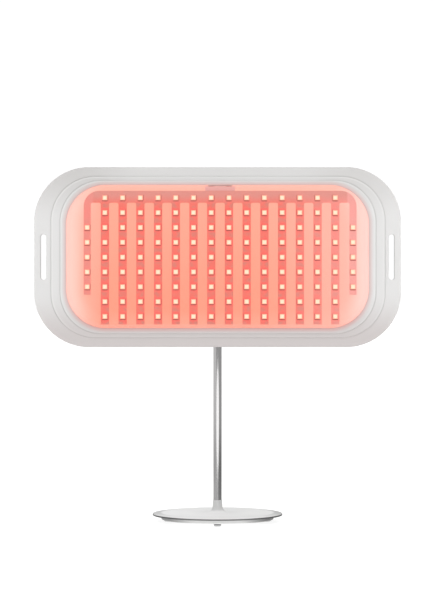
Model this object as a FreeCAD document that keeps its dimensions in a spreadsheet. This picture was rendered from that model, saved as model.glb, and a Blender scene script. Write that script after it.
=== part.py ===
import FreeCAD, Part
import os
from types import SimpleNamespace

import Sketcher

# Light therapy lamp: a flat silicone panel of LEDs that hooks onto a tilting bracket,
# on a swivel head at the top of a thin polished post with a round weighted base.
# Millimetres. The origin is on the floor under the centre of the base, +Z is up,
# the lit side faces -Y and the post stands on the Z axis.

Vector = FreeCAD.Vector

SIZES = {
    # Panel outline and the two steps that rise to its window
    "panel_width": 380.0,
    "panel_height": 186.5,
    "panel_corner": 57.0,
    "panel_bottom": 183.7,
    "panel_reach": 35.4,
    "flange_thickness": 2.4,
    "plateau_depth": 1.7,
    "outer_step_side": 16.7,
    "outer_step_top": 9.8,
    "outer_step_corner": 46.0,
    "inner_step_side": 26.2,
    "inner_step_top": 14.0,
    "inner_step_corner": 43.0,
    "window_side": 32.5,
    "window_top": 19.2,
    "window_corner": 41.0,
    "step_rise": 1.0,
    "window_proud": 0.8,
    "lip_thickness": 1.0,
    "lip_width": 4.0,
    "rim_bevel": 0.8,
    "step_bevel": 0.4,
    "slot_inset": 9.5,
    "slot_width": 6.4,
    "slot_length": 47.4,
    # Clear window sheet, LED board and the sheets behind them
    "sheet_clearance": 0.15,
    "window_skin": 1.4,
    "window_rim": 3.0,
    "board_shift": 2.7,
    "board_thickness": 0.3,
    "chip_size": 5.0,
    "chip_height": 1.6,
    "chip_draft": 6.0,
    "board_side_gap": 16.1,
    "board_top_gap": 5.35,
    "board_bottom_gap": 4.25,
    "strip_width": 8.6,
    "strip_end": 8.3,
    "end_strip_width": 7.3,
    "bar_above": 7.2,
    "bar_below": 5.1,
    "bar_corner": 16.0,
    "gap_round": 2.0,
    "tab_width": 31.0,
    "tab_rise": 4.7,
    "tail_width": 24.0,
    "tail_gap": 0.1,
    "backing_thickness": 1.2,
    "back_thickness": 2.5,
    "back_recess": 1.0,
    "back_bevel": 1.0,
    # Control pod on the back of the panel
    "pod_width": 150.0,
    "pod_height": 76.0,
    "pod_depth": 11.0,
    "pod_corner": 14.0,
    "pod_wall": 1.8,
    "pod_back_wall": 2.4,
    "pod_round": 3.0,
    "pod_below_middle": 8.0,
    "pod_screw_inset": 8.0,
    "pod_boss_radius": 4.0,
    "clamp_thickness": 1.2,
    "clamp_margin": 2.0,
    "clamp_border": 12.0,
    "screw_radius": 1.5,
    "screw_head_radius": 2.8,
    "screw_head_height": 1.5,
    "screw_clearance": 0.1,
    "part_clearance": 0.3,
    "battery_side_gap": 3.7,
    "battery_end_gap": 2.0,
    "battery_thickness": 6.0,
    "battery_corner": 3.0,
    "lead_radius": 0.6,
    "lead_spread": 1.5,
    "lead_reach": 3.0,
    "control_right_gap": 1.0,
    "control_top_gap": 16.0,
    "control_thickness": 1.2,
    "control_left": 16.0,
    "standoff_height": 4.8,
    "standoff_radius": 2.6,
    "standoff_inset": 3.6,
    "board_screw_radius": 1.0,
    "board_screw_reach": 3.5,
    "connector_height": 1.8,
    "connector_depth": 4.5,
    "connector_cheek": 1.0,
    "connector_margin": 1.0,
    "usb_width": 8.94,
    "usb_height": 3.26,
    "usb_depth": 7.4,
    "usb_shell": 0.3,
    "usb_tongue": 0.7,
    "usb_recess": 0.5,
    "usb_inset": 16.0,
    "switch_size": 6.0,
    "switch_height": 2.2,
    "switch_dome_radius": 1.7,
    "button_inset": 16.0,
    "button_radius": 6.0,
    "button_gap": 0.25,
    "button_proud": 1.0,
    "button_flange": 1.4,
    "button_flange_thickness": 0.6,
    "button_travel": 0.8,
    "button_stem_radius": 1.5,
    "lens_radius": 1.25,
    "lens_spacing": 6.0,
    "lens_left_of_button": 15.0,
    "lens_flange": 0.7,
    # Hook-on dock between the pod and the tilting bracket
    "tongue_width": 30.0,
    "tongue_height": 40.0,
    "tongue_thickness": 2.2,
    "tongue_below_hinge": 12.0,
    "dock_clearance": 0.2,
    "dock_side_wall": 7.7,
    "dock_lip": 2.7,
    "dock_top_wall": 4.0,
    "dock_corner": 5.0,
    "dock_bevel": 0.8,
    "dock_screw_inset": 5.5,
    "clevis_width": 18.0,
    "clevis_web": 2.0,
    # Hinge, swivel head and post
    "hinge_below_middle": 26.0,
    "ear_thickness": 3.0,
    "ear_radius": 7.0,
    "knuckle_radius": 6.0,
    "washer_thickness": 0.5,
    "washer_radius": 5.6,
    "hinge_play": 0.05,
    "pin_radius": 2.5,
    "pin_head_radius": 4.3,
    "pin_head_height": 2.6,
    "nut_across": 8.0,
    "nut_height": 3.2,
    "neck_thickness": 9.0,
    "head_drop": 13.5,
    "head_length": 18.0,
    "head_radius": 6.5,
    "bush_wall": 0.9,
    "spigot_above_groove": 6.5,
    "groove_width": 2.2,
    "groove_depth": 1.0,
    "groove_turn": 218.0,
    "grub_nose_radius": 0.9,
    "post_radius": 4.1,
    "post_wall": 0.8,
    "plug_length": 15.0,
    # Round base
    "base_radius": 68.1,
    "base_top": 9.6,
    "rim_height": 8.8,
    "rim_bottom": 7.0,
    "rim_band": 7.3,
    "rim_edge_bevel": 0.4,
    "cover_skin": 1.6,
    "neck_top": 22.8,
    "neck_wall": 0.5,
    "neck_taper": 1.1,
    "neck_flare": 7.0,
    "post_seat": 10.5,
    "pan_inset": 7.6,
    "pan_draft": 2.0,
    "pan_wall": 2.0,
    "pan_floor": 1.4,
    "foot_height": 2.8,
    "foot_radius": 3.9,
    "foot_recess": 0.6,
    "foot_inset": 6.5,
    "foot_bevel": 0.6,
    "weight_hole": 10.0,
    "weight_thickness": 3.4,
    "centre_boss_radius": 8.0,
    "centre_boss_depth": 1.2,
    "base_screw_radius": 2.5,
    "base_screw_head": 4.4,
    "base_screw_head_height": 1.3,
    "base_washer_radius": 6.0,
    "base_washer_thickness": 0.6,
    "base_screw_reach": 10.0,
    "pan_screw_inset": 20.0,
    "pan_boss_radius": 3.6,
    "pan_screw_head_height": 0.8,
}

# Counts
COLUMNS = 14
ROWS = 9
END_ROWS = 5
LENSES = 3

# The side of a square and of a hexagon for a diagonal or a width of one
DIAGONAL = 0.5 ** 0.5
HEXAGON_SIDE = 1 / 3 ** 0.5


class Size:
    """A length with the spreadsheet formula that gives it."""

    def __init__(self, value, formula):
        self.value = value
        self.formula = formula

    def __add__(self, other):
        other = as_size(other)
        return Size(self.value + other.value, f"({self.formula} + {other.formula})")

    def __radd__(self, other):
        return as_size(other) + self

    def __sub__(self, other):
        other = as_size(other)
        return Size(self.value - other.value, f"({self.formula} - {other.formula})")

    def __rsub__(self, other):
        return as_size(other) - self

    def __mul__(self, other):
        other = as_size(other)
        return Size(self.value * other.value, f"({self.formula} * {other.formula})")

    def __rmul__(self, other):
        return as_size(other) * self

    def __truediv__(self, other):
        other = as_size(other)
        return Size(self.value / other.value, f"({self.formula} / {other.formula})")

    def __neg__(self):
        return Size(-self.value, f"(0 - {self.formula})")


def as_size(number):
    """Turn a plain number into a Size."""
    return number if isinstance(number, Size) else Size(float(number), str(number))


def make_sheet(doc):
    """Write every driving dimension in the spreadsheet, and return them as Sizes."""
    sheet = doc.addObject("Spreadsheet::Sheet", "sizes")
    for row, (alias, value) in enumerate(SIZES.items(), 1):
        sheet.set(f"A{row}", alias)
        sheet.set(f"B{row}", str(value))
        sheet.setAlias(f"B{row}", alias)
    doc.recompute()
    return SimpleNamespace(**{alias: Size(value, f"sizes.{alias}") for alias, value in SIZES.items()})


doc = FreeCAD.newDocument("light_therapy_lamp")
s = make_sheet(doc)


# Helpers for bodies, sketches and features

def new_body(label):
    body = doc.addObject("PartDesign::Body", label)
    body.Label = label
    return body


def bind(feature, name, size):
    feature.setExpression(name, as_size(size).formula)


def sketch_on(body, plane, name, offset=0):
    """A sketch on one of the body's origin planes, moved along the plane's normal."""
    sketch = body.newObject("Sketcher::SketchObject", name)
    face = next(item for item in body.Origin.OriginFeatures if item.Role == plane)
    sketch.AttachmentSupport = [(face, "")]
    sketch.MapMode = "FlatFace"
    bind(sketch, "AttachmentOffset.Base.z", offset)
    return sketch


def front_sketch(body, name, y):
    """A sketch seen from the front, X to the right and Z up, in the plane at depth y."""
    return sketch_on(body, "XZ_Plane", name, -as_size(y))


def side_sketch(body, name, x=0):
    """A sketch seen from the side, with Y across and Z up, in the plane at x."""
    return sketch_on(body, "YZ_Plane", name, x)


def plan_sketch(body, name, z=0):
    """A sketch seen from above, in the plane at height z."""
    return sketch_on(body, "XY_Plane", name, z)


def hold(sketch, kind, place, size):
    """Add a dimension to a sketch and bind it to its formula."""
    size = as_size(size)
    index = sketch.addConstraint(Sketcher.Constraint(kind, *place, size.value))
    sketch.setExpression(f"Constraints[{index}]", size.formula)


def hold_point(sketch, edge, end, point):
    hold(sketch, "DistanceX", (edge, end), point[0])
    hold(sketch, "DistanceY", (edge, end), point[1])


def vector(point):
    return Vector(as_size(point[0]).value, as_size(point[1]).value, 0)


def draw_polygon(sketch, corners):
    """Straight edges from corner to corner, each corner held by its formulas."""
    count = len(corners)
    lines = [
        sketch.addGeometry(Part.LineSegment(vector(corners[i]), vector(corners[(i + 1) % count])))
        for i in range(count)
    ]
    for i in range(count):
        sketch.addConstraint(Sketcher.Constraint("Coincident", lines[i], 2, lines[(i + 1) % count], 1))
        hold_point(sketch, lines[i], 1, corners[i])


def draw_circle(sketch, point, radius):
    radius = as_size(radius)
    edge = sketch.addGeometry(Part.Circle(vector(point), Vector(0, 0, 1), radius.value))
    hold_point(sketch, edge, 3, point)
    hold(sketch, "Radius", (edge,), radius)


def draw_arc(sketch, centre, start, end, before, after, radius):
    """A quarter or half turn from the line before it to the line after it."""
    middle = vector(centre)
    half_way = (vector(start) + vector(end)) * 0.5 - middle
    if half_way.Length < 1e-6:
        half_way = Vector(0, 1 if vector(start).x > middle.x else -1, 0)
    half_way = half_way.normalize() * as_size(radius).value
    edge = sketch.addGeometry(Part.Arc(vector(start), middle + half_way, vector(end)))
    sketch.addConstraint(Sketcher.Constraint("Coincident", before, 2, edge, 1))
    sketch.addConstraint(Sketcher.Constraint("Coincident", edge, 2, after, 1))
    hold(sketch, "Radius", (edge,), radius)


def draw_rounded_rectangle(sketch, middle, width, height, radius):
    """A rectangle with four equal round corners about a middle point."""
    mid_x, mid_y = as_size(middle[0]), as_size(middle[1])
    left, right = mid_x - width / 2, mid_x + width / 2
    low, high = mid_y - height / 2, mid_y + height / 2
    sides = [
        ((left + radius, low), (right - radius, low)),
        ((right, low + radius), (right, high - radius)),
        ((right - radius, high), (left + radius, high)),
        ((left, high - radius), (left, low + radius)),
    ]
    centres = [
        (right - radius, low + radius),
        (right - radius, high - radius),
        (left + radius, high - radius),
        (left + radius, low + radius),
    ]
    lines = [sketch.addGeometry(Part.LineSegment(vector(start), vector(end))) for start, end in sides]
    for line, (start, end) in zip(lines, sides):
        hold_point(sketch, line, 1, start)
        hold_point(sketch, line, 2, end)
    for i in range(4):
        after = (i + 1) % 4
        draw_arc(sketch, centres[i], sides[i][1], sides[after][0], lines[i], lines[after], radius)


def draw_rectangle(sketch, middle, width, height):
    mid_x, mid_y = as_size(middle[0]), as_size(middle[1])
    left, right = mid_x - width / 2, mid_x + width / 2
    low, high = mid_y - height / 2, mid_y + height / 2
    draw_polygon(sketch, [(left, low), (right, low), (right, high), (left, high)])


def draw_hexagon(sketch, middle, across):
    """A hexagon with two upright flats that are one width apart."""
    mid_x, mid_y = as_size(middle[0]), as_size(middle[1])
    side = across * HEXAGON_SIDE
    draw_polygon(sketch, [
        (mid_x + across / 2, mid_y - side / 2),
        (mid_x + across / 2, mid_y + side / 2),
        (mid_x, mid_y + side),
        (mid_x - across / 2, mid_y + side / 2),
        (mid_x - across / 2, mid_y - side / 2),
        (mid_x, mid_y - side),
    ])


def draw_slot(sketch, middle, width, length):
    """An upright slot with round ends."""
    mid_x, mid_y = as_size(middle[0]), as_size(middle[1])
    radius = width / 2
    low, high = mid_y - length / 2 + radius, mid_y + length / 2 - radius
    left, right = mid_x - radius, mid_x + radius
    sides = [((right, low), (right, high)), ((left, high), (left, low))]
    lines = [sketch.addGeometry(Part.LineSegment(vector(start), vector(end))) for start, end in sides]
    for line, (start, end) in zip(lines, sides):
        hold_point(sketch, line, 1, start)
        hold_point(sketch, line, 2, end)
    for i, y, bulge in ((0, high, radius), (1, low, -radius)):
        start, end = sides[i][1], sides[1 - i][0]
        edge = sketch.addGeometry(Part.Arc(vector(start), vector((mid_x, y + bulge)), vector(end)))
        sketch.addConstraint(Sketcher.Constraint("Coincident", lines[i], 2, edge, 1))
        sketch.addConstraint(Sketcher.Constraint("Coincident", edge, 2, lines[1 - i], 1))
        hold(sketch, "DistanceY", (edge, 3), y)


def add_feature(body, kind, name, **settings):
    feature = body.newObject(kind, name)
    for key, value in settings.items():
        setattr(feature, key, value)
    return feature


def volume(body):
    doc.recompute()
    tip = body.Tip
    return tip.Shape.Volume if tip is not None and not tip.Shape.isNull() else 0.0


def pad(body, sketch, name, length, reverse=False, middle=False):
    """Add material on the sketch's normal side, on the other side, or on both."""
    feature = add_feature(body, "PartDesign::Pad", name, Profile=sketch, Reversed=reverse, Midplane=middle)
    bind(feature, "Length", length)
    return feature


def pocket(body, sketch, name, length, reverse=False, middle=False):
    """Cut against the sketch's normal, or along it when reversed, and prove that it cut."""
    before = volume(body)
    settings = {"Profile": sketch, "Reversed": reverse, "Midplane": middle}
    feature = add_feature(body, "PartDesign::Pocket", name, **settings)
    bind(feature, "Length", length)
    if volume(body) >= before:
        raise ValueError(f"{name} cuts nothing")
    return feature


def revolve(body, sketch, name, axis="V_Axis"):
    return add_feature(body, "PartDesign::Revolution", name, Profile=sketch, ReferenceAxis=(sketch, [axis]))


def linear_grid(body, feature, sketch, name, rows):
    """Repeat a feature along the sketch's axes: rows holds axis, spacing and count."""
    grid = body.newObject("PartDesign::MultiTransform", name)
    grid.Originals = [feature]
    steps = []
    for axis, spacing, count in rows:
        step = doc.addObject("PartDesign::LinearPattern", f"{name}_step")
        body.addObject(step)
        step.Direction = (sketch, [axis])
        step.Occurrences = count
        bind(step, "Length", as_size(spacing) * (count - 1))
        steps.append(step)
    grid.Transformations = steps
    body.Tip = grid
    return grid


def edges_where(feature, test):
    """Names of the edges whose bounding box passes the test."""
    doc.recompute()
    return [f"Edge{i}" for i, edge in enumerate(feature.Shape.Edges, 1) if test(edge)]


def dress(body, kind, name, test, **sizes):
    """Fillet or chamfer the tip's edges that pass the test."""
    base = body.Tip
    names = edges_where(base, test)
    if not names:
        raise ValueError(f"{name} finds no edge")
    feature = body.newObject(kind, name)
    feature.Base = (base, names)
    for key, size in sizes.items():
        bind(feature, key, size)
    body.Tip = feature
    return feature


def fillet(body, name, radius, test):
    return dress(body, "PartDesign::Fillet", name, test, Radius=radius)


def chamfer(body, name, size, test):
    return dress(body, "PartDesign::Chamfer", name, test, Size=size)


def near(a, b, slack=0.01):
    return abs(a - as_size(b).value) < slack


def flat_at(edge, axis, place):
    """True when the whole edge lies at one place along an axis."""
    box = edge.BoundBox
    low, high = getattr(box, f"{axis}Min"), getattr(box, f"{axis}Max")
    return near(low, place) and near(high, place)


def spans(edge, axis, length):
    """True when the edge's extent along an axis equals a length."""
    return near(getattr(edge.BoundBox, f"{axis}Length"), length, 0.05)


# Places worked out from the driving dimensions

front = -s.panel_reach
panel_mid = s.panel_bottom + s.panel_height / 2
inner_front = front + s.window_proud
outer_front = inner_front + s.step_rise
flange_front = outer_front + s.step_rise
flange_back = flange_front + s.flange_thickness
window_seat = inner_front + s.lip_thickness
plateau_back = flange_back + s.plateau_depth
window_width = s.panel_width - s.window_side * 2
window_height = s.panel_height - s.window_top * 2
hinge_height = panel_mid - s.hinge_below_middle
sheet_width = window_width + s.lip_width * 2
sheet_height = window_height + s.lip_width * 2
sheet_corner = s.window_corner + s.lip_width
chip_front = window_seat + s.window_skin
board_front = chip_front + s.chip_height
board_back = board_front + s.board_thickness
backing_back = board_back + s.backing_thickness
back_inner = plateau_back + s.back_recess
back_outer = plateau_back + s.back_thickness
board_width = window_width - s.board_side_gap * 2
bar_high = panel_mid + window_height / 2 - s.board_top_gap
strip_low = panel_mid - window_height / 2 + s.board_bottom_gap
tab_high = bar_high + s.tab_rise
grid_top = bar_high - s.bar_above
grid_low = strip_low + s.strip_end
bar_low = grid_top - s.bar_below
column_pitch = (board_width - s.end_strip_width) / (COLUMNS + 1)
row_pitch = (grid_top - grid_low) / (ROWS - 1)
grid_left = s.board_shift - column_pitch * ((COLUMNS - 1) / 2)
end_column = column_pitch * ((COLUMNS + 1) / 2)
end_rows_low = grid_low + row_pitch * ((ROWS - END_ROWS) / 2)

pod_mid = panel_mid - s.pod_below_middle
pod_back = back_outer + s.pod_depth
pod_inner = pod_back - s.pod_back_wall
pod_low = pod_mid - s.pod_height / 2
pod_screw_x = s.pod_width / 2 - s.pod_screw_inset
pod_screw_z = s.pod_height / 2 - s.pod_screw_inset
pod_screw_places = [(i * pod_screw_x, pod_mid + j * pod_screw_z) for i in (-1, 1) for j in (-1, 1)]
clamp_front = back_inner - s.clamp_thickness
control_back = pod_inner - s.standoff_height
control_front = control_back - s.control_thickness
control_left_edge = -s.control_left
control_right_edge = pod_screw_x - s.pod_boss_radius - s.control_right_gap
control_width = control_right_edge - control_left_edge
control_mid_x = (control_left_edge + control_right_edge) / 2
control_bottom = pod_low + s.pod_wall + s.part_clearance
control_top = pod_low + s.pod_height - s.pod_wall - s.control_top_gap
control_height = control_top - control_bottom
control_mid_z = (control_bottom + control_top) / 2
standoff_places = [
    (control_mid_x + i * (control_width / 2 - s.standoff_inset),
     control_mid_z + j * (control_height / 2 - s.standoff_inset))
    for i in (-1, 1) for j in (-1, 1)
]
connector_mid = control_top - s.connector_margin - s.connector_depth / 2
connector_front = control_front - s.connector_height
battery_left = s.pod_wall + s.battery_side_gap - s.pod_width / 2
battery_right = control_left_edge - s.lead_radius * 2 - s.part_clearance
battery_mid_x = (battery_left + battery_right) / 2
battery_height = s.pod_height - (s.pod_screw_inset + s.pod_boss_radius + s.battery_end_gap) * 2
button_x = control_right_edge - s.button_inset
usb_x = control_right_edge - s.usb_inset
usb_mid_y = control_back + s.usb_height / 2
usb_corner = s.usb_height * 0.4
lens_x = button_x - s.lens_left_of_button
lens_heights = [pod_mid + s.lens_spacing * (i - (LENSES - 1) / 2) for i in range(LENSES)]
button_back = pod_back + s.button_proud
switch_top = control_back + s.switch_height
button_stem_end = switch_top + s.button_travel + s.hinge_play * 2

tongue_low = hinge_height - s.tongue_below_hinge
tongue_high = tongue_low + s.tongue_height
dock_slot_width = s.tongue_width + s.dock_clearance * 2
dock_width = dock_slot_width + s.dock_side_wall * 2
slot_front = pod_back + s.dock_clearance
tongue_back = slot_front + s.tongue_thickness
dock_lip_front = tongue_back + s.dock_clearance
dock_back = dock_lip_front + s.dock_lip
dock_high = tongue_high + s.dock_top_wall
dock_screw_x = (dock_width - s.dock_side_wall) / 2
dock_screw_places = [
    (i * dock_screw_x, z)
    for i in (-1, 1) for z in (tongue_low + s.dock_screw_inset, dock_high - s.dock_screw_inset)
]
clevis_front = dock_back + s.dock_clearance * 2
knuckle_half = s.clevis_width / 2 - s.ear_thickness - s.washer_thickness - s.hinge_play * 2

head_top = hinge_height - s.head_drop
head_bottom = head_top - s.head_length
bush_inner = s.post_radius + s.hinge_play
bush_outer = bush_inner + s.bush_wall
post_top = head_bottom + s.part_clearance * 5
groove_mid = post_top + s.spigot_above_groove
spigot_top = groove_mid + s.spigot_above_groove

neck_top_radius = s.post_radius + s.neck_wall
neck_low_radius = neck_top_radius + s.neck_taper
pan_top_radius = s.base_radius - s.pan_inset
pan_bottom_radius = pan_top_radius - s.pan_draft
foot_circle = pan_bottom_radius - s.foot_inset
pan_screw_circle = pan_bottom_radius - s.pan_screw_inset
cover_under = s.base_top - s.cover_skin
pan_floor_top = s.foot_height + s.pan_floor
boss_bottom = cover_under - s.centre_boss_depth
weight_radius = pan_bottom_radius - s.pan_wall - s.part_clearance
foot_places = [(0, -foot_circle), (foot_circle, 0), (0, foot_circle), (-foot_circle, 0)]
pan_screw_offset = pan_screw_circle * DIAGONAL
pan_screw_places = [(i * pan_screw_offset, j * pan_screw_offset) for i in (-1, 1) for j in (-1, 1)]


# Panel

def make_front_frame():
    """Moulded silicone frame: thin flange with strap slots, and two steps up to the window."""
    body = new_body("front_frame")
    middle = (0, panel_mid)
    outline = front_sketch(body, "flange_outline", flange_front)
    draw_rounded_rectangle(outline, middle, s.panel_width, s.panel_height, s.panel_corner)
    pad(body, outline, "flange", s.flange_thickness, reverse=True)
    chamfer(body, "rim_bevel", s.rim_bevel, lambda edge: edge.BoundBox.YLength < 0.01)
    steps = (
        ("outer_step", outer_front, s.outer_step_side, s.outer_step_top, s.outer_step_corner),
        ("inner_step", inner_front, s.inner_step_side, s.inner_step_top, s.inner_step_corner),
    )
    for name, face, side, top, corner in steps:
        sketch = front_sketch(body, f"{name}_outline", face)
        draw_rounded_rectangle(sketch, middle, s.panel_width - side * 2, s.panel_height - top * 2, corner)
        pad(body, sketch, name, plateau_back - face, reverse=True)
        chamfer(body, f"{name}_bevel", s.step_bevel, lambda edge: flat_at(edge, "Y", face))
    window = front_sketch(body, "window_outline", inner_front)
    draw_rounded_rectangle(window, middle, window_width, window_height, s.window_corner)
    pocket(body, window, "window", plateau_back - inner_front)
    rebate = front_sketch(body, "rebate_outline", plateau_back)
    draw_rounded_rectangle(rebate, middle, sheet_width, sheet_height, sheet_corner)
    pocket(body, rebate, "rebate", plateau_back - window_seat, reverse=True)
    slots = front_sketch(body, "slot_outlines", flange_front)
    for side in (-1, 1):
        slot_x = side * (s.panel_width / 2 - s.slot_inset)
        draw_slot(slots, (slot_x, panel_mid), s.slot_width, s.slot_length)
    pocket(body, slots, "strap_slots", s.flange_thickness)
    return body


def make_window_sheet():
    """Clear silicone tray over the LEDs: its rim seats behind the frame, its face stands proud."""
    body = new_body("window_sheet")
    middle = (0, panel_mid)
    gap = s.sheet_clearance
    face = front_sketch(body, "face_outline", front)
    face_size = (window_width - gap * 2, window_height - gap * 2)
    draw_rounded_rectangle(face, middle, *face_size, s.window_corner - gap)
    pad(body, face, "face", window_seat - front, reverse=True)
    chamfer(body, "face_bevel", s.step_bevel, lambda edge: flat_at(edge, "Y", front))
    width = sheet_width - gap * 2
    height = sheet_height - gap * 2
    corner = sheet_corner - gap
    outline = front_sketch(body, "rim_outline", window_seat)
    draw_rounded_rectangle(outline, middle, width, height, corner)
    pad(body, outline, "rim", board_back - window_seat, reverse=True)
    hollow = front_sketch(body, "hollow_outline", board_back)
    rim = s.window_rim
    draw_rounded_rectangle(hollow, middle, width - rim * 2, height - rim * 2, corner - rim)
    pocket(body, hollow, "hollow", board_back - chip_front, reverse=True)
    return body


def make_led_board():
    """Comb-shaped flexible board with its connector tab and the tail folded down behind it."""
    body = new_body("led_board")
    bar_width = end_column * 2 + s.end_strip_width
    bar = front_sketch(body, "bar_outline", board_front)
    draw_rectangle(bar, (s.board_shift, (bar_low + bar_high) / 2), bar_width, bar_high - bar_low)
    pad(body, bar, "bar", s.board_thickness, reverse=True)
    half = bar_width / 2

    def outer_corner(edge):
        upright = spans(edge, "Y", s.board_thickness) and near(edge.BoundBox.ZMin, bar_high)
        return upright and abs(edge.BoundBox.XMin - s.board_shift.value) > half.value - 1

    strip = front_sketch(body, "strip_outline", board_front)
    strip_low = grid_low - s.strip_end
    draw_rectangle(strip, (grid_left, (strip_low + bar_low) / 2), s.strip_width, bar_low - strip_low)
    first = pad(body, strip, "strip", s.board_thickness, reverse=True)
    linear_grid(body, first, strip, "strips", [("H_Axis", column_pitch, COLUMNS)])
    end_strip = front_sketch(body, "end_strip_outline", board_front)
    end_low = end_rows_low - s.strip_end
    end_middle = (s.board_shift - end_column, (end_low + bar_low) / 2)
    draw_rectangle(end_strip, end_middle, s.end_strip_width, bar_low - end_low)
    first_end = pad(body, end_strip, "end_strip", s.board_thickness, reverse=True)
    linear_grid(body, first_end, end_strip, "end_strips", [("H_Axis", end_column * 2, 2)])
    fillet(body, "bar_corners", s.bar_corner, outer_corner)

    def gap_corner(edge):
        return spans(edge, "Y", s.board_thickness) and near(edge.BoundBox.ZMin, bar_low)

    fillet(body, "gap_rounds", s.gap_round, gap_corner)
    tab = front_sketch(body, "tab_outline", board_front)
    draw_rectangle(tab, (s.board_shift, bar_high + s.tab_rise / 2), s.tab_width, s.tab_rise)
    pad(body, tab, "tab", s.board_thickness, reverse=True)
    tail = side_sketch(body, "tail_profile", s.board_shift)
    skin = s.board_thickness
    run_front = backing_back + s.tail_gap
    slit_low, slit_high = connector_mid - skin / 2, connector_mid + skin / 2
    draw_polygon(tail, [
        (board_front, tab_high),
        (board_front, tab_high + skin),
        (run_front + skin, tab_high + skin),
        (run_front + skin, slit_high),
        (connector_front, slit_high),
        (connector_front, slit_low),
        (run_front, slit_low),
        (run_front, tab_high),
    ])
    pad(body, tail, "tail", s.tail_width, middle=True)
    return body


def make_led_chips():
    """One square LED package at each place of the comb, all in one group."""
    body = new_body("led_chips")
    grids = (
        ("chip", grid_left, grid_low, column_pitch, COLUMNS, ROWS),
        ("end_chip", s.board_shift - end_column, end_rows_low, end_column * 2, 2, END_ROWS),
    )
    for name, left, low, spacing, columns, rows in grids:
        sketch = front_sketch(body, f"{name}_outline", board_front)
        draw_rectangle(sketch, (left, low), s.chip_size, s.chip_size)
        chip = pad(body, sketch, name, s.chip_height)
        bind(chip, "TaperAngle", -s.chip_draft)
        steps = [("H_Axis", spacing, columns), ("V_Axis", row_pitch, rows)]
        linear_grid(body, chip, sketch, f"{name}_grid", steps)
    return body


def make_backing_sheet():
    """White sheet behind the LED board, notched at the top where the tail folds round it."""
    body = new_body("backing_sheet")
    outline = front_sketch(body, "sheet_outline", board_back)
    width = sheet_width - s.sheet_clearance * 2
    height = sheet_height - s.sheet_clearance * 2
    draw_rounded_rectangle(outline, (0, panel_mid), width, height, sheet_corner - s.sheet_clearance)
    pad(body, outline, "sheet", s.backing_thickness, reverse=True)
    notch = front_sketch(body, "notch_outline", board_back)
    low = tab_high - s.part_clearance
    high = panel_mid + sheet_height / 2
    notch_width = s.tail_width + s.part_clearance * 2
    draw_rectangle(notch, (s.board_shift, (low + high) / 2), notch_width, high - low)
    pocket(body, notch, "tail_notch", s.backing_thickness)
    return body


def make_back_sheet():
    """Silicone back skin with a shallow recess inside, a slit for the tail and four screw holes."""
    body = new_body("back_sheet")
    outline = front_sketch(body, "back_outline", plateau_back)
    width = s.panel_width - s.outer_step_side * 2
    height = s.panel_height - s.outer_step_top * 2
    draw_rounded_rectangle(outline, (0, panel_mid), width, height, s.outer_step_corner)
    pad(body, outline, "back", s.back_thickness, reverse=True)
    chamfer(body, "back_bevel", s.back_bevel, lambda edge: flat_at(edge, "Y", back_outer))
    recess = front_sketch(body, "recess_outline", plateau_back)
    draw_rounded_rectangle(recess, (0, panel_mid), sheet_width, sheet_height, sheet_corner)
    pocket(body, recess, "recess", s.back_recess)
    openings = front_sketch(body, "openings", back_inner)
    slit_width = s.tail_width + s.part_clearance * 2
    slit_height = s.board_thickness + s.part_clearance * 2
    draw_rectangle(openings, (s.board_shift, connector_mid), slit_width, slit_height)
    for x, z in pod_screw_places:
        draw_circle(openings, (x, z), s.screw_radius + s.screw_clearance)
    pocket(body, openings, "slit_and_holes", back_outer - back_inner)
    return body


def make_pod_clamp():
    """Thin steel frame inside the panel that the pod's screws pull against."""
    body = new_body("pod_clamp")
    outline = front_sketch(body, "clamp_outline", clamp_front)
    width = s.pod_width - s.clamp_margin * 2
    height = s.pod_height - s.clamp_margin * 2
    corner = s.pod_corner - s.clamp_margin
    border = s.clamp_border
    draw_rounded_rectangle(outline, (0, pod_mid), width, height, corner)
    draw_rounded_rectangle(outline, (0, pod_mid), width - border * 2, height - border * 2, corner / 3)
    for x, z in pod_screw_places:
        draw_circle(outline, (x, z), s.screw_radius)
    pad(body, outline, "clamp", s.clamp_thickness, reverse=True)
    return body


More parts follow.
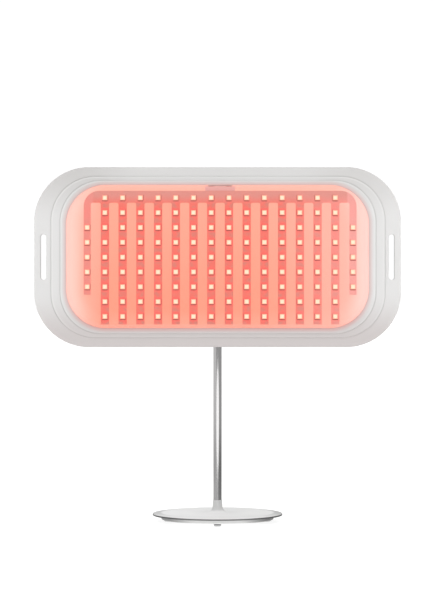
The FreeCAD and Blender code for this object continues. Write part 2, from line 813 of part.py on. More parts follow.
def make_pod_case():
    """Moulded housing on the back: one shell with screw bosses, standoffs and its openings."""
    body = new_body("pod_case")
    middle = (0, pod_mid)
    outline = front_sketch(body, "case_outline", back_outer)
    draw_rounded_rectangle(outline, middle, s.pod_width, s.pod_height, s.pod_corner)
    pad(body, outline, "case", s.pod_depth, reverse=True)
    fillet(body, "case_round", s.pod_round, lambda edge: flat_at(edge, "Y", pod_back))
    hollow = front_sketch(body, "hollow_outline", back_outer)
    inner_width = s.pod_width - s.pod_wall * 2
    inner_height = s.pod_height - s.pod_wall * 2
    draw_rounded_rectangle(hollow, middle, inner_width, inner_height, s.pod_corner - s.pod_wall)
    pocket(body, hollow, "hollow", pod_inner - back_outer)
    bosses = front_sketch(body, "boss_outlines", pod_inner)
    for x, z in pod_screw_places:
        draw_circle(bosses, (x, z), s.pod_boss_radius)
    pad(body, bosses, "bosses", pod_inner - back_outer)
    standoffs = front_sketch(body, "standoff_outlines", pod_inner)
    for x, z in standoff_places:
        draw_circle(standoffs, (x, z), s.standoff_radius)
    pad(body, standoffs, "standoffs", s.standoff_height)
    threads = front_sketch(body, "standoff_holes", control_back)
    for x, z in standoff_places:
        draw_circle(threads, (x, z), s.board_screw_radius)
    pocket(body, threads, "standoff_threads", s.board_screw_reach)
    through = front_sketch(body, "through_holes", back_outer)
    for x, z in pod_screw_places:
        draw_circle(through, (x, z), s.screw_radius + s.screw_clearance)
    for x, z in dock_screw_places:
        draw_circle(through, (x, z), s.screw_radius)
    draw_circle(through, (button_x, pod_mid), s.button_radius + s.button_gap)
    for z in lens_heights:
        draw_circle(through, (lens_x, z), s.lens_radius)
    pocket(body, through, "holes", s.pod_depth)
    sinks = front_sketch(body, "screw_sinks", pod_back)
    for x, z in pod_screw_places:
        draw_circle(sinks, (x, z), s.screw_head_radius + s.screw_clearance)
    pocket(body, sinks, "sinks", s.screw_head_height + s.screw_clearance * 2, reverse=True)
    inlet = plan_sketch(body, "usb_opening", pod_low)
    usb_gap = s.part_clearance
    usb_place = (usb_x, usb_mid_y)
    draw_rounded_rectangle(inlet, usb_place, s.usb_width + usb_gap, s.usb_height + usb_gap, usb_corner)
    pocket(body, inlet, "usb_slot", s.pod_wall * 1.5, reverse=True)
    return body


def make_battery_pack():
    """Flat rechargeable cell stuck to the inside of the housing's back wall."""
    body = new_body("battery_pack")
    outline = front_sketch(body, "cell_outline", pod_inner)
    place = (battery_mid_x, pod_mid)
    draw_rounded_rectangle(outline, place, battery_right - battery_left, battery_height, s.battery_corner)
    pad(body, outline, "cell", s.battery_thickness)
    return body


def make_battery_leads():
    """Two short leads from the cell to the control board."""
    body = new_body("battery_leads")
    sketch = side_sketch(body, "lead_sections", battery_right)
    for side in (-1, 1):
        draw_circle(sketch, (control_back + s.lead_radius, pod_mid + side * s.lead_spread), s.lead_radius)
    pad(body, sketch, "leads", control_left_edge + s.lead_reach - battery_right)
    return body


def make_control_board():
    """Driver board on four standoffs."""
    body = new_body("control_board")
    outline = front_sketch(body, "board_outline", control_front)
    draw_rectangle(outline, (control_mid_x, control_mid_z), control_width, control_height)
    for x, z in standoff_places:
        draw_circle(outline, (x, z), s.board_screw_radius + s.screw_clearance)
    pad(body, outline, "board", s.control_thickness, reverse=True)
    return body


def make_board_screws():
    body = new_body("board_screws")
    heads = front_sketch(body, "head_outlines", control_front)
    shanks = front_sketch(body, "shank_outlines", control_front)
    for x, z in standoff_places:
        draw_circle(heads, (x, z), s.board_screw_radius * 1.9)
        draw_circle(shanks, (x, z), s.board_screw_radius)
    pad(body, heads, "heads", s.board_screw_radius)
    pad(body, shanks, "shanks", s.control_thickness + s.board_screw_reach - s.part_clearance, reverse=True)
    return body


def make_flex_connector():
    """Socket on the control board that the board's tail plugs into."""
    body = new_body("flex_connector")
    outline = front_sketch(body, "connector_outline", control_front)
    width = s.tail_width + s.connector_cheek * 2
    draw_rectangle(outline, (s.board_shift, connector_mid), width, s.connector_depth)
    pad(body, outline, "connector", s.connector_height)
    return body


def make_usb_c_socket():
    """Charging socket: an oval metal shell with a tongue inside, mouth down."""
    body = new_body("usb_c_socket")
    mouth = pod_low + s.usb_recess
    place = (usb_x, usb_mid_y)
    shell = plan_sketch(body, "shell_outline", mouth)
    draw_rounded_rectangle(shell, place, s.usb_width, s.usb_height, usb_corner)
    pad(body, shell, "shell", s.usb_depth)
    inside = plan_sketch(body, "mouth_outline", mouth)
    wall = s.usb_shell
    draw_rounded_rectangle(inside, place, s.usb_width - wall * 2, s.usb_height - wall * 2, usb_corner - wall)
    pocket(body, inside, "mouth", s.usb_depth * 0.85, reverse=True)
    tongue = plan_sketch(body, "tongue_outline", mouth + s.usb_recess)
    draw_rectangle(tongue, place, s.usb_width * 0.75, s.usb_tongue)
    pad(body, tongue, "tongue", s.usb_depth * 0.9 - s.usb_recess)
    return body


def make_tact_switch():
    """Small push switch on the board behind the power button."""
    body = new_body("tact_switch")
    base = front_sketch(body, "switch_outline", control_back)
    draw_rectangle(base, (button_x, pod_mid), s.switch_size, s.switch_size)
    dome_height = s.switch_height / 4
    pad(body, base, "switch", s.switch_height - dome_height, reverse=True)
    dome = front_sketch(body, "dome_outline", switch_top)
    draw_circle(dome, (button_x, pod_mid), s.switch_dome_radius)
    pad(body, dome, "dome", dome_height)
    return body


def make_indicator_lenses():
    """Three small light guides, flush outside and flanged inside."""
    body = new_body("indicator_lenses")
    rods = front_sketch(body, "rod_outlines", pod_back)
    flanges = front_sketch(body, "flange_outlines", pod_inner)
    for z in lens_heights:
        draw_circle(rods, (lens_x, z), s.lens_radius)
        draw_circle(flanges, (lens_x, z), s.lens_radius + s.lens_flange)
    pad(body, rods, "rods", pod_back - pod_inner)
    pad(body, flanges, "flanges", s.lens_flange)
    return body


def make_power_button():
    """Round push button held in the housing by a flange inside the wall."""
    body = new_body("power_button")
    place = (button_x, pod_mid)
    flange_back_face = pod_inner - s.hinge_play
    cap = front_sketch(body, "cap_outline", button_back)
    draw_circle(cap, place, s.button_radius)
    pad(body, cap, "cap", button_back - flange_back_face)
    chamfer(body, "cap_bevel", s.button_proud / 2, lambda edge: flat_at(edge, "Y", button_back))
    flange = front_sketch(body, "flange_outline", flange_back_face)
    draw_circle(flange, place, s.button_radius + s.button_flange)
    pad(body, flange, "flange", s.button_flange_thickness)
    stem = front_sketch(body, "stem_outline", flange_back_face)
    draw_circle(stem, place, s.button_stem_radius)
    pad(body, stem, "stem", flange_back_face - button_stem_end)
    return body


def make_round_screws(label, places, head_face, tip, head_height):
    """Screws whose flat heads face backwards, one at each place."""
    body = new_body(label)
    heads = front_sketch(body, "head_outlines", head_face)
    shanks = front_sketch(body, "shank_outlines", head_face)
    for x, z in places:
        draw_circle(heads, (x, z), s.screw_head_radius)
        draw_circle(shanks, (x, z), s.screw_radius)
    pad(body, heads, "heads", head_height)
    pad(body, shanks, "shanks", head_face - tip)
    return body


def make_pod_screws():
    head_face = pod_back - s.screw_clearance
    return make_round_screws("pod_screws", pod_screw_places, head_face, clamp_front, s.screw_head_height)


def make_dock_screws():
    head_face = dock_back - s.screw_clearance
    return make_round_screws("dock_screws", dock_screw_places, head_face, pod_inner, s.screw_head_height)


def make_dock_socket():
    """Block on the pod with an upside-down pocket that drops over the bracket's tongue."""
    body = new_body("dock_socket")
    outline = front_sketch(body, "block_outline", pod_back)
    height = dock_high - tongue_low
    draw_rounded_rectangle(outline, (0, tongue_low + height / 2), dock_width, height, s.dock_corner)
    pad(body, outline, "block", dock_back - pod_back, reverse=True)
    chamfer(body, "block_bevel", s.dock_bevel, lambda edge: flat_at(edge, "Y", dock_back))
    slot = plan_sketch(body, "tongue_slot", tongue_low)
    wide = dock_slot_width / 2
    narrow = s.clevis_width / 2 + s.dock_clearance
    draw_polygon(slot, [
        (-wide, pod_back),
        (wide, pod_back),
        (wide, dock_lip_front),
        (narrow, dock_lip_front),
        (narrow, dock_back),
        (-narrow, dock_back),
        (-narrow, dock_lip_front),
        (-wide, dock_lip_front),
    ])
    pocket(body, slot, "tongue_pocket", s.tongue_height, reverse=True)
    holes = front_sketch(body, "screw_holes", pod_back)
    sinks = front_sketch(body, "screw_sinks", dock_back)
    for x, z in dock_screw_places:
        draw_circle(holes, (x, z), s.screw_radius + s.screw_clearance)
        draw_circle(sinks, (x, z), s.screw_head_radius + s.screw_clearance)
    pocket(body, holes, "holes", dock_back - pod_back)
    pocket(body, sinks, "sinks", s.screw_head_height + s.screw_clearance * 2, reverse=True)
    return body


def make_dock_plate():
    """Bracket with the tongue that carries the panel and the two hinge ears behind it."""
    body = new_body("dock_plate")
    height = s.tongue_height
    tongue_mid = tongue_low + height / 2
    tongue = front_sketch(body, "tongue_outline", slot_front)
    draw_rectangle(tongue, (0, tongue_mid), s.tongue_width, height)
    pad(body, tongue, "tongue", s.tongue_thickness, reverse=True)
    neck = front_sketch(body, "neck_outline", tongue_back)
    draw_rectangle(neck, (0, tongue_mid), s.clevis_width, height)
    pad(body, neck, "neck", clevis_front - tongue_back, reverse=True)
    ears = side_sketch(body, "ear_profile")
    low, high = hinge_height - s.ear_radius, hinge_height + s.ear_radius
    draw_polygon(ears, [
        (clevis_front, tongue_low),
        (0, low),
        (0, high),
        (clevis_front, high + s.ear_radius),
    ])
    pad(body, ears, "ears", s.clevis_width, middle=True)
    rounds = side_sketch(body, "ear_rounds")
    draw_circle(rounds, (0, hinge_height), s.ear_radius)
    pad(body, rounds, "ear_ends", s.clevis_width, middle=True)
    gap = side_sketch(body, "gap_profile")
    draw_polygon(gap, [
        (clevis_front + s.clevis_web, tongue_low - s.ear_radius),
        (s.ear_radius * 2, tongue_low - s.ear_radius),
        (s.ear_radius * 2, high + s.ear_radius * 2),
        (clevis_front + s.clevis_web, high + s.ear_radius * 2),
    ])
    pocket(body, gap, "knuckle_gap", s.clevis_width - s.ear_thickness * 2, middle=True)
    bore = side_sketch(body, "pin_bore")
    draw_circle(bore, (0, hinge_height), s.pin_radius)
    pocket(body, bore, "pin_hole", s.clevis_width, middle=True)
    return body


def make_hinge_pin():
    """Shoulder screw through the ears and the knuckle, with its socket head on the left."""
    body = new_body("hinge_pin")
    place = (0, hinge_height)
    head = side_sketch(body, "head_outline", -(s.clevis_width / 2))
    draw_circle(head, place, s.pin_head_radius)
    pad(body, head, "head", s.pin_head_height, reverse=True)
    head_face = -(s.clevis_width / 2) - s.pin_head_height
    chamfer(body, "head_bevel", s.pin_head_height / 4, lambda edge: flat_at(edge, "X", head_face))
    shank = side_sketch(body, "shank_outline", -(s.clevis_width / 2))
    draw_circle(shank, place, s.pin_radius)
    pad(body, shank, "shank", s.clevis_width + s.nut_height)
    socket = side_sketch(body, "socket_outline", head_face)
    draw_hexagon(socket, place, s.pin_radius * 1.2)
    pocket(body, socket, "socket", s.pin_head_height / 2, reverse=True)
    return body


def make_hinge_nut():
    body = new_body("hinge_nut")
    outline = side_sketch(body, "nut_outline", s.clevis_width / 2)
    draw_hexagon(outline, (0, hinge_height), s.nut_across)
    draw_circle(outline, (0, hinge_height), s.pin_radius)
    pad(body, outline, "nut", s.nut_height)
    return body


def make_hinge_washers():
    """A friction washer on each side of the knuckle."""
    body = new_body("hinge_washers")
    inner_face = s.clevis_width / 2 - s.ear_thickness - s.hinge_play
    for name, side in (("left", -1), ("right", 1)):
        sketch = side_sketch(body, f"{name}_outline", side * inner_face)
        draw_circle(sketch, (0, hinge_height), s.washer_radius)
        draw_circle(sketch, (0, hinge_height), s.pin_radius + s.hinge_play)
        pad(body, sketch, f"{name}_washer", s.washer_thickness, reverse=side > 0)
    return body


def make_swivel_head():
    """Head that turns on the post: a round barrel, a flat neck and the hinge knuckle."""
    body = new_body("swivel_head")
    barrel = plan_sketch(body, "barrel_outline", head_bottom)
    draw_circle(barrel, (0, 0), s.head_radius)
    pad(body, barrel, "barrel", s.head_length)
    chamfer(body, "barrel_bevel", s.head_radius - s.neck_thickness / 2 - s.hinge_play,
            lambda edge: flat_at(edge, "Z", head_top))
    neck = side_sketch(body, "neck_outline")
    draw_rectangle(neck, (0, (head_top + hinge_height) / 2), s.neck_thickness, hinge_height - head_top)
    pad(body, neck, "neck", knuckle_half * 2, middle=True)
    knuckle = side_sketch(body, "knuckle_outline")
    draw_circle(knuckle, (0, hinge_height), s.knuckle_radius)
    pad(body, knuckle, "knuckle", knuckle_half * 2, middle=True)
    pin_bore = side_sketch(body, "pin_bore")
    draw_circle(pin_bore, (0, hinge_height), s.pin_radius + s.hinge_play)
    pocket(body, pin_bore, "pin_hole", knuckle_half * 2, middle=True)
    bore = plan_sketch(body, "post_bore", head_bottom)
    draw_circle(bore, (0, 0), bush_outer)
    pocket(body, bore, "post_hole", spigot_top + s.hinge_play - head_bottom, reverse=True)
    grub = front_sketch(body, "grub_bore", 0)
    draw_circle(grub, (0, groove_mid), s.screw_radius)
    pocket(body, grub, "grub_hole", s.head_radius)
    return body


def make_swivel_bush():
    """Plastic sleeve in the barrel that runs on the post's spigot."""
    body = new_body("swivel_bush")
    sleeve = plan_sketch(body, "sleeve_outline", head_bottom)
    draw_circle(sleeve, (0, 0), bush_outer)
    draw_circle(sleeve, (0, 0), bush_inner)
    pad(body, sleeve, "sleeve", spigot_top - head_bottom)
    hole = front_sketch(body, "nose_hole", 0)
    draw_circle(hole, (0, groove_mid), s.grub_nose_radius + s.screw_clearance)
    pocket(body, hole, "nose_opening", s.head_radius)
    return body


def make_head_grub_screw():
    """Grub screw at the back of the barrel: its nose rides in the spigot's groove and stops the turn."""
    body = new_body("head_grub_screw")
    outer = s.head_radius - s.part_clearance
    thread = front_sketch(body, "thread_outline", outer)
    draw_circle(thread, (0, groove_mid), s.screw_radius)
    pad(body, thread, "thread", outer - bush_outer)
    nose = front_sketch(body, "nose_outline", bush_outer)
    draw_circle(nose, (0, groove_mid), s.grub_nose_radius)
    pad(body, nose, "nose", bush_outer - (s.post_radius - s.groove_depth + s.screw_clearance * 2))
    return body


# Stand

def make_post_spigot():
    """Turned plug in the top of the post, with the part-round groove that limits the swivel."""
    body = new_body("post_spigot")
    plug = plan_sketch(body, "plug_outline", post_top - s.plug_length)
    draw_circle(plug, (0, 0), s.post_radius - s.post_wall)
    pad(body, plug, "plug", s.plug_length)
    journal = plan_sketch(body, "journal_outline", post_top)
    draw_circle(journal, (0, 0), s.post_radius)
    pad(body, journal, "journal", spigot_top - post_top)
    chamfer(body, "journal_chamfer", s.groove_depth / 2, lambda edge: flat_at(edge, "Z", spigot_top))
    profile = side_sketch(body, "groove_profile")
    groove_inner = s.post_radius - s.groove_depth
    draw_rectangle(profile, (groove_inner + s.groove_depth, groove_mid), s.groove_depth * 2, s.groove_width)
    before = volume(body)
    groove = add_feature(body, "PartDesign::Groove", "groove", Profile=profile, Midplane=True)
    groove.ReferenceAxis = (profile, ["V_Axis"])
    bind(groove, "Angle", s.groove_turn)
    if volume(body) >= before:
        raise ValueError("groove cuts nothing")
    return body


def make_post_tube():
    body = new_body("post_tube")
    section = plan_sketch(body, "tube_section", s.post_seat)
    draw_circle(section, (0, 0), s.post_radius)
    draw_circle(section, (0, 0), s.post_radius - s.post_wall)
    pad(body, section, "tube", post_top - s.post_seat)
    return body


def make_post_plug():
    """Threaded plug in the foot of the post."""
    body = new_body("post_plug")
    section = plan_sketch(body, "plug_section", s.post_seat)
    draw_circle(section, (0, 0), s.post_radius - s.post_wall)
    pad(body, section, "plug", s.plug_length)
    thread = plan_sketch(body, "thread_section", s.post_seat)
    draw_circle(thread, (0, 0), s.base_screw_radius)
    pocket(body, thread, "thread", s.base_screw_reach + s.part_clearance, reverse=True)
    return body


def make_base_cover():
    """Round cover turned in one piece with its flared neck, with screw bosses underneath."""
    body = new_body("base_cover")
    screw_hole = s.base_screw_radius + s.screw_clearance
    bore = s.post_radius + s.hinge_play
    profile = front_sketch(body, "cover_profile", 0)
    draw_polygon(profile, [
        (screw_hole, boss_bottom),
        (s.centre_boss_radius, boss_bottom),
        (s.centre_boss_radius, cover_under),
        (pan_top_radius - s.pan_wall, cover_under),
        (pan_top_radius - s.pan_wall, s.rim_bottom),
        (s.base_radius, s.rim_bottom),
        (s.base_radius, s.rim_height),
        (s.base_radius - s.rim_band, s.base_top),
        (neck_low_radius, s.base_top),
        (neck_top_radius, s.neck_top),
        (bore, s.neck_top),
        (bore, s.post_seat),
        (screw_hole, s.post_seat),
    ])
    revolve(body, profile, "cover")
    fillet(body, "neck_flare", s.neck_flare,
           lambda edge: flat_at(edge, "Z", s.base_top) and spans(edge, "X", neck_low_radius * 2))

    def rim_edge(edge):
        return spans(edge, "X", s.base_radius * 2) and edge.BoundBox.ZLength < 0.01

    chamfer(body, "rim_bevels", s.rim_edge_bevel, rim_edge)
    bosses = plan_sketch(body, "boss_outlines", cover_under)
    threads = plan_sketch(body, "boss_threads", pan_floor_top)
    for x, y in pan_screw_places:
        draw_circle(bosses, (x, y), s.pan_boss_radius)
        draw_circle(threads, (x, y), s.screw_radius)
    pad(body, bosses, "bosses", cover_under - pan_floor_top, reverse=True)
    pocket(body, threads, "threads", cover_under - pan_floor_top, reverse=True)
    return body


def make_base_weight():
    """Steel ballast disc inside the base."""
    body = new_body("base_weight")
    outline = plan_sketch(body, "disc_outline", pan_floor_top)
    draw_circle(outline, (0, 0), weight_radius)
    draw_circle(outline, (0, 0), s.weight_hole)
    for x, y in pan_screw_places:
        draw_circle(outline, (x, y), s.pan_boss_radius + s.part_clearance)
    pad(body, outline, "disc", s.weight_thickness)
    return body


def make_base_pan():
    """Dished bottom of the base, with recesses for the feet and the screw heads."""
    body = new_body("base_pan")
    profile = front_sketch(body, "pan_profile", 0)
    draw_polygon(profile, [
        (0, s.foot_height),
        (pan_bottom_radius, s.foot_height),
        (pan_top_radius, s.rim_bottom),
        (pan_top_radius - s.pan_wall, s.rim_bottom),
        (pan_bottom_radius - s.pan_wall, pan_floor_top),
        (0, pan_floor_top),
    ])
    revolve(body, profile, "pan")
    recesses = plan_sketch(body, "foot_recesses", s.foot_height)
    for x, y in foot_places:
        draw_circle(recesses, (x, y), s.foot_radius + s.hinge_play)
    pocket(body, recesses, "recesses", s.foot_recess, reverse=True)
    holes = plan_sketch(body, "screw_holes", s.foot_height)
    sinks = plan_sketch(body, "screw_sinks", s.foot_height)
    for x, y in pan_screw_places:
        draw_circle(holes, (x, y), s.screw_radius + s.screw_clearance)
        draw_circle(sinks, (x, y), s.screw_head_radius + s.screw_clearance)
    pocket(body, holes, "holes", s.pan_floor, reverse=True)
    pocket(body, sinks, "sinks", s.pan_screw_head_height + s.screw_clearance, reverse=True)
    return body


def make_pan_screws():
    body = new_body("pan_screws")
    head_bottom_face = s.foot_height + s.screw_clearance
    heads = plan_sketch(body, "head_outlines", head_bottom_face)
    shanks = plan_sketch(body, "shank_outlines", head_bottom_face)
    for x, y in pan_screw_places:
        draw_circle(heads, (x, y), s.screw_head_radius)
        draw_circle(shanks, (x, y), s.screw_radius)
    pad(body, heads, "heads", s.pan_screw_head_height)
    pad(body, shanks, "shanks", cover_under - head_bottom_face - s.part_clearance)
    return body


def make_base_washer():
    body = new_body("base_washer")
    outline = plan_sketch(body, "washer_outline", boss_bottom)
    draw_circle(outline, (0, 0), s.base_washer_radius)
    draw_circle(outline, (0, 0), s.base_screw_radius + s.screw_clearance)
    pad(body, outline, "washer", s.base_washer_thickness, reverse=True)
    return body


def make_base_screw():
    """Screw from below that clamps the cover to the foot of the post."""
    body = new_body("base_screw")
    head_top_face = boss_bottom - s.base_washer_thickness
    head = plan_sketch(body, "head_outline", head_top_face)
    draw_circle(head, (0, 0), s.base_screw_head)
    pad(body, head, "head", s.base_screw_head_height, reverse=True)
    shank = plan_sketch(body, "shank_outline", head_top_face)
    draw_circle(shank, (0, 0), s.base_screw_radius)
    pad(body, shank, "shank", s.post_seat + s.base_screw_reach - head_top_face)
    return body


def make_rubber_feet():
    """Four round feet pressed in the bottom of the base, one of them at the front."""
    body = new_body("rubber_feet")
    outline = plan_sketch(body, "foot_outlines", 0)
    for x, y in foot_places:
        draw_circle(outline, (x, y), s.foot_radius)
    pad(body, outline, "feet", s.foot_height + s.foot_recess)
    chamfer(body, "foot_bevels", s.foot_bevel, lambda edge: flat_at(edge, "Z", 0))
    return body


PIECES = (
    make_front_frame,
    make_window_sheet,
    make_led_board,
    make_led_chips,
    make_backing_sheet,
    make_back_sheet,
    make_pod_clamp,
    make_pod_case,
    make_pod_screws,
    make_battery_pack,
    make_battery_leads,
    make_control_board,
    make_board_screws,
    make_flex_connector,
    make_usb_c_socket,
    make_tact_switch,
    make_indicator_lenses,
    make_power_button,
    make_dock_socket,
    make_dock_screws,
    make_dock_plate,
    make_hinge_pin,
    make_hinge_nut,
    make_hinge_washers,
    make_swivel_head,
    make_swivel_bush,
    make_head_grub_screw,
    make_post_spigot,
    make_post_tube,
    make_post_plug,
    make_base_cover,
    make_base_weight,
    make_base_pan,
    make_pan_screws,
    make_base_washer,
    make_base_screw,
    make_rubber_feet,
)

bodies = [make_piece() for make_piece in PIECES]
doc.recompute()

for item in doc.Objects:
    if "Invalid" in item.State or "Error" in item.State:
        raise ValueError(f"{item.Label} failed: {item.State}")

os.makedirs("parts", exist_ok=True)
for body in bodies:
    shape = body.Shape
    if shape.isNull() or not shape.isValid():
        raise ValueError(f"{body.Label} has no valid shape")
    shape.exportStep(f"parts/{body.Label}.step")
    box = shape.BoundBox
    low = f"{box.XMin:.1f} {box.YMin:.1f} {box.ZMin:.1f}"
    high = f"{box.XMax:.1f} {box.YMax:.1f} {box.ZMax:.1f}"
    print(f"{body.Label}: {len(shape.Solids)} solids, {shape.Volume / 1000:.2f} cm3, {low} to {high}")
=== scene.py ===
# %% [markdown]
# # Dressing a light therapy lamp
# This file is a lesson in small cells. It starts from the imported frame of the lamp: a silicone
# panel full of LEDs, hooked on a swivel head, on a thin polished post with a round base.
# Each cell makes one piece or one finish, and the text before it says what the real thing is,
# how it could be made, and why this way was taken.

# %% Load the fixed frame
from math import cos, pi, radians, sin

import bmesh
import bpy
from mathutils import Matrix, Vector


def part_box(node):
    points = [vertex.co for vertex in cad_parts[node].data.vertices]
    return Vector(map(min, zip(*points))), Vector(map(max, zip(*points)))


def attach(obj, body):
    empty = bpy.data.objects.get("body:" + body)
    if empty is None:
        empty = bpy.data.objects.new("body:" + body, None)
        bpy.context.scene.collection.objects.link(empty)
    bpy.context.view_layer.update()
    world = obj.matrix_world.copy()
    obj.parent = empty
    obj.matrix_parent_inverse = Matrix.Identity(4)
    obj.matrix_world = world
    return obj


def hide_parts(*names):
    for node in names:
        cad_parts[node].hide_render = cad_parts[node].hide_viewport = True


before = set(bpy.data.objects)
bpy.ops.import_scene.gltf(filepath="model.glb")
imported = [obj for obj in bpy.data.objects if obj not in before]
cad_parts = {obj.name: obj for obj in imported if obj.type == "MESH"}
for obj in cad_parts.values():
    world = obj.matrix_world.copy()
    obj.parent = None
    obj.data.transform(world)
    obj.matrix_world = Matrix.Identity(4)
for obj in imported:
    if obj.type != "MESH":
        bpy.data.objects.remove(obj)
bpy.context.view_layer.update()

# %% [markdown]
# ## The camera
# The panel shows no taper and the round base shows as a thin ellipse, so the picture was taken
# level, from far off, with a long lens. A sensor whose long side is 36 mm and a 135 mm lens at
# about 2.4 m give the same frame without any shift.

# %% Camera at the photograph's place
MM = 0.001
camera_data = bpy.data.cameras.new("camera")
camera_data.lens = 135.4
camera_data.sensor_width = 36
camera = bpy.data.objects.new("camera", camera_data)
camera.location = (0, -2.393, 0.2294)
camera.rotation_euler = (radians(90), 0, 0)
bpy.context.collection.objects.link(camera)
bpy.context.scene.camera = camera
print("camera at", tuple(camera.location))

# %% [markdown]
# ## Colour management
# The photograph has a clean white ground and strong salmon pinks. A filmic view would grey both,
# so the plain Standard view is used, and the lights are set to suit it.

# %% Standard view
bpy.context.scene.view_settings.view_transform = "Standard"
bpy.context.scene.view_settings.look = "None"
print("view:", bpy.context.scene.view_settings.view_transform)

# %% [markdown]
# ## Places and sizes
# The frame says where each node is, so the main places are read from it. Only the small mouldings
# that the solids leave out are given here, in millimetres.

# %% Places read from the frame
panel_low, panel_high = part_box("front_frame")
PANEL_MIDDLE = (panel_low.z + panel_high.z) / 2 / MM
PANEL_WIDTH = (panel_high.x - panel_low.x) / MM
PANEL_HEIGHT = (panel_high.z - panel_low.z) / MM
PANEL_CORNER = 57.0
STEP_HEIGHT = 1.0
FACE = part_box("window_sheet")[0].y / MM
INNER_FACE = FACE + 0.8
OUTER_FACE = INNER_FACE + STEP_HEIGHT
FLANGE_FACE = OUTER_FACE + STEP_HEIGHT
FLANGE_BACK = FLANGE_FACE + 2.4
SEAT = INNER_FACE + STEP_HEIGHT
PLATEAU_BACK = panel_high.y / MM
BOARD_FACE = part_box("led_chips")[1].y / MM
LED_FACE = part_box("led_chips")[0].y / MM
print("panel", round(PANEL_WIDTH, 1), "by", round(PANEL_HEIGHT, 1), "at", round(PANEL_MIDDLE, 2))
print("faces", FACE, INNER_FACE, OUTER_FACE, FLANGE_FACE, FLANGE_BACK, PLATEAU_BACK)

# %% [markdown]
# ## A short way to write shader maths
# A material is a graph of nodes. Written out node by node, even a simple mask takes a page. This
# class wraps one output socket, so that `1 - mask` or `noise * 0.3 + 0.5` adds its Math nodes.
# Every other node comes from the one method `node`.


# %% Socket maths
class Wire:
    """One output of a shader node. Sums and products of wires add Math nodes."""

    def __init__(self, socket):
        self.socket = socket

    def node(self, kind, settings=None, sockets=None, output=0):
        """Add a node of a kind, set it, join its inputs, and return one of its outputs."""
        tree = self.socket.id_data
        made = tree.nodes.new(kind)
        for name, value in (settings or {}).items():
            setattr(made, name, value)
        for key, value in (sockets or {}).items():
            join(tree, value, made.inputs[key])
        return Wire(made.outputs[output])

    def maths(self, operation, *values):
        return self.node("ShaderNodeMath", {"operation": operation}, dict(enumerate(values)))

    def __add__(self, other):
        return self.maths("ADD", self, other)

    def __radd__(self, other):
        return self.maths("ADD", other, self)

    def __sub__(self, other):
        return self.maths("SUBTRACT", self, other)

    def __rsub__(self, other):
        return self.maths("SUBTRACT", other, self)

    def __mul__(self, other):
        return self.maths("MULTIPLY", self, other)

    def __rmul__(self, other):
        return self.maths("MULTIPLY", other, self)

    def __truediv__(self, other):
        return self.maths("DIVIDE", self, other)

    def __abs__(self):
        return self.maths("ABSOLUTE", self)

    def at_least(self, other):
        return self.maths("MAXIMUM", self, other)

    def at_most(self, other):
        return self.maths("MINIMUM", self, other)

    def root(self):
        return self.maths("SQRT", self)

    def ramp(self, low, high):
        """Rise smoothly from 0 at low to 1 at high."""
        settings = {"interpolation_type": "SMOOTHSTEP"}
        return self.node("ShaderNodeMapRange", settings, {0: self, 1: low, 2: high})

    def blend(self, first, second):
        """Mix two colours, with this wire as the factor."""
        return self.node("ShaderNodeMix", {"data_type": "RGBA"}, {0: self, 6: first, 7: second}, 2)

    def dimmed(self, share):
        """The same colour, darker."""
        settings = {"data_type": "RGBA", "blend_type": "MULTIPLY"}
        sockets = {0: 1.0, 6: self, 7: (share, share, share)}
        return self.node("ShaderNodeMix", settings, sockets, 2)

    def bump(self, strength, distance):
        """A normal that follows this height, in metres when distance is 1."""
        sockets = {"Strength": strength, "Distance": distance, "Height": self}
        return self.node("ShaderNodeBump", None, sockets)


def join(tree, value, socket):
    """Put a wire, a colour or a number on an input."""
    if isinstance(value, Wire):
        tree.links.new(value.socket, socket)
    elif isinstance(value, tuple) and len(value) == 3 and socket.type == "RGBA":
        socket.default_value = (*value, 1.0)
    else:
        socket.default_value = value


print("socket maths ready")

# %% [markdown]
# ## Starting and closing a finish
# Every finish starts from Object coordinates, which stay with the surface when the lamp moves,
# and ends in the Principled shader. Colours are written as the 0 to 255 values that a picture
# shows and turned linear, because shaders work on linear light.


# %% Finish helpers
def start(name):
    """A new material and the wire of its Object coordinates."""
    material = bpy.data.materials.new(name)
    material.use_nodes = True
    return material, Wire(material.node_tree.nodes.new("ShaderNodeTexCoord").outputs["Object"])


def close(material, **settings):
    """Join values to the Principled shader: base_color goes to Base Color, and so on."""
    shader = material.node_tree.nodes["Principled BSDF"]
    for name, value in settings.items():
        label = "IOR" if name == "ior" else name.replace("_", " ").title()
        join(material.node_tree, value, shader.inputs[label])
    return material


def colour(red, green, blue):
    """Turn picture values into linear light."""
    shares = (value / 255 for value in (red, green, blue))
    return tuple(v / 12.92 if v <= 0.04045 else ((v + 0.055) / 1.055) ** 2.4 for v in shares)


def even_grey(grey):
    """A grey in linear light."""
    return (grey, grey, grey)


def axes(place):
    """The x, y and z of a position wire."""
    return [place.node("ShaderNodeSeparateXYZ", None, {0: place}, index) for index in range(3)]


def noise(place, scale, detail=2.0, roughness=0.5):
    sockets = {"Vector": place, "Scale": scale, "Detail": detail, "Roughness": roughness}
    return place.node("ShaderNodeTexNoise", None, sockets)


def wear(node_name, material):
    """Give a CAD node its finish."""
    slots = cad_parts[node_name].material_slots
    if not slots:
        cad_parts[node_name].data.materials.append(material)
    for item in slots:
        item.material = material


print("white paint in linear light:", [round(value, 3) for value in colour(225, 225, 224)])

# %% [markdown]
# ## Turning a bmesh into a piece
# Each new piece is modelled with bmesh operators. This helper merges its seams, points its faces
# outwards, shades it smooth except at real edges, and makes it ride with its body.


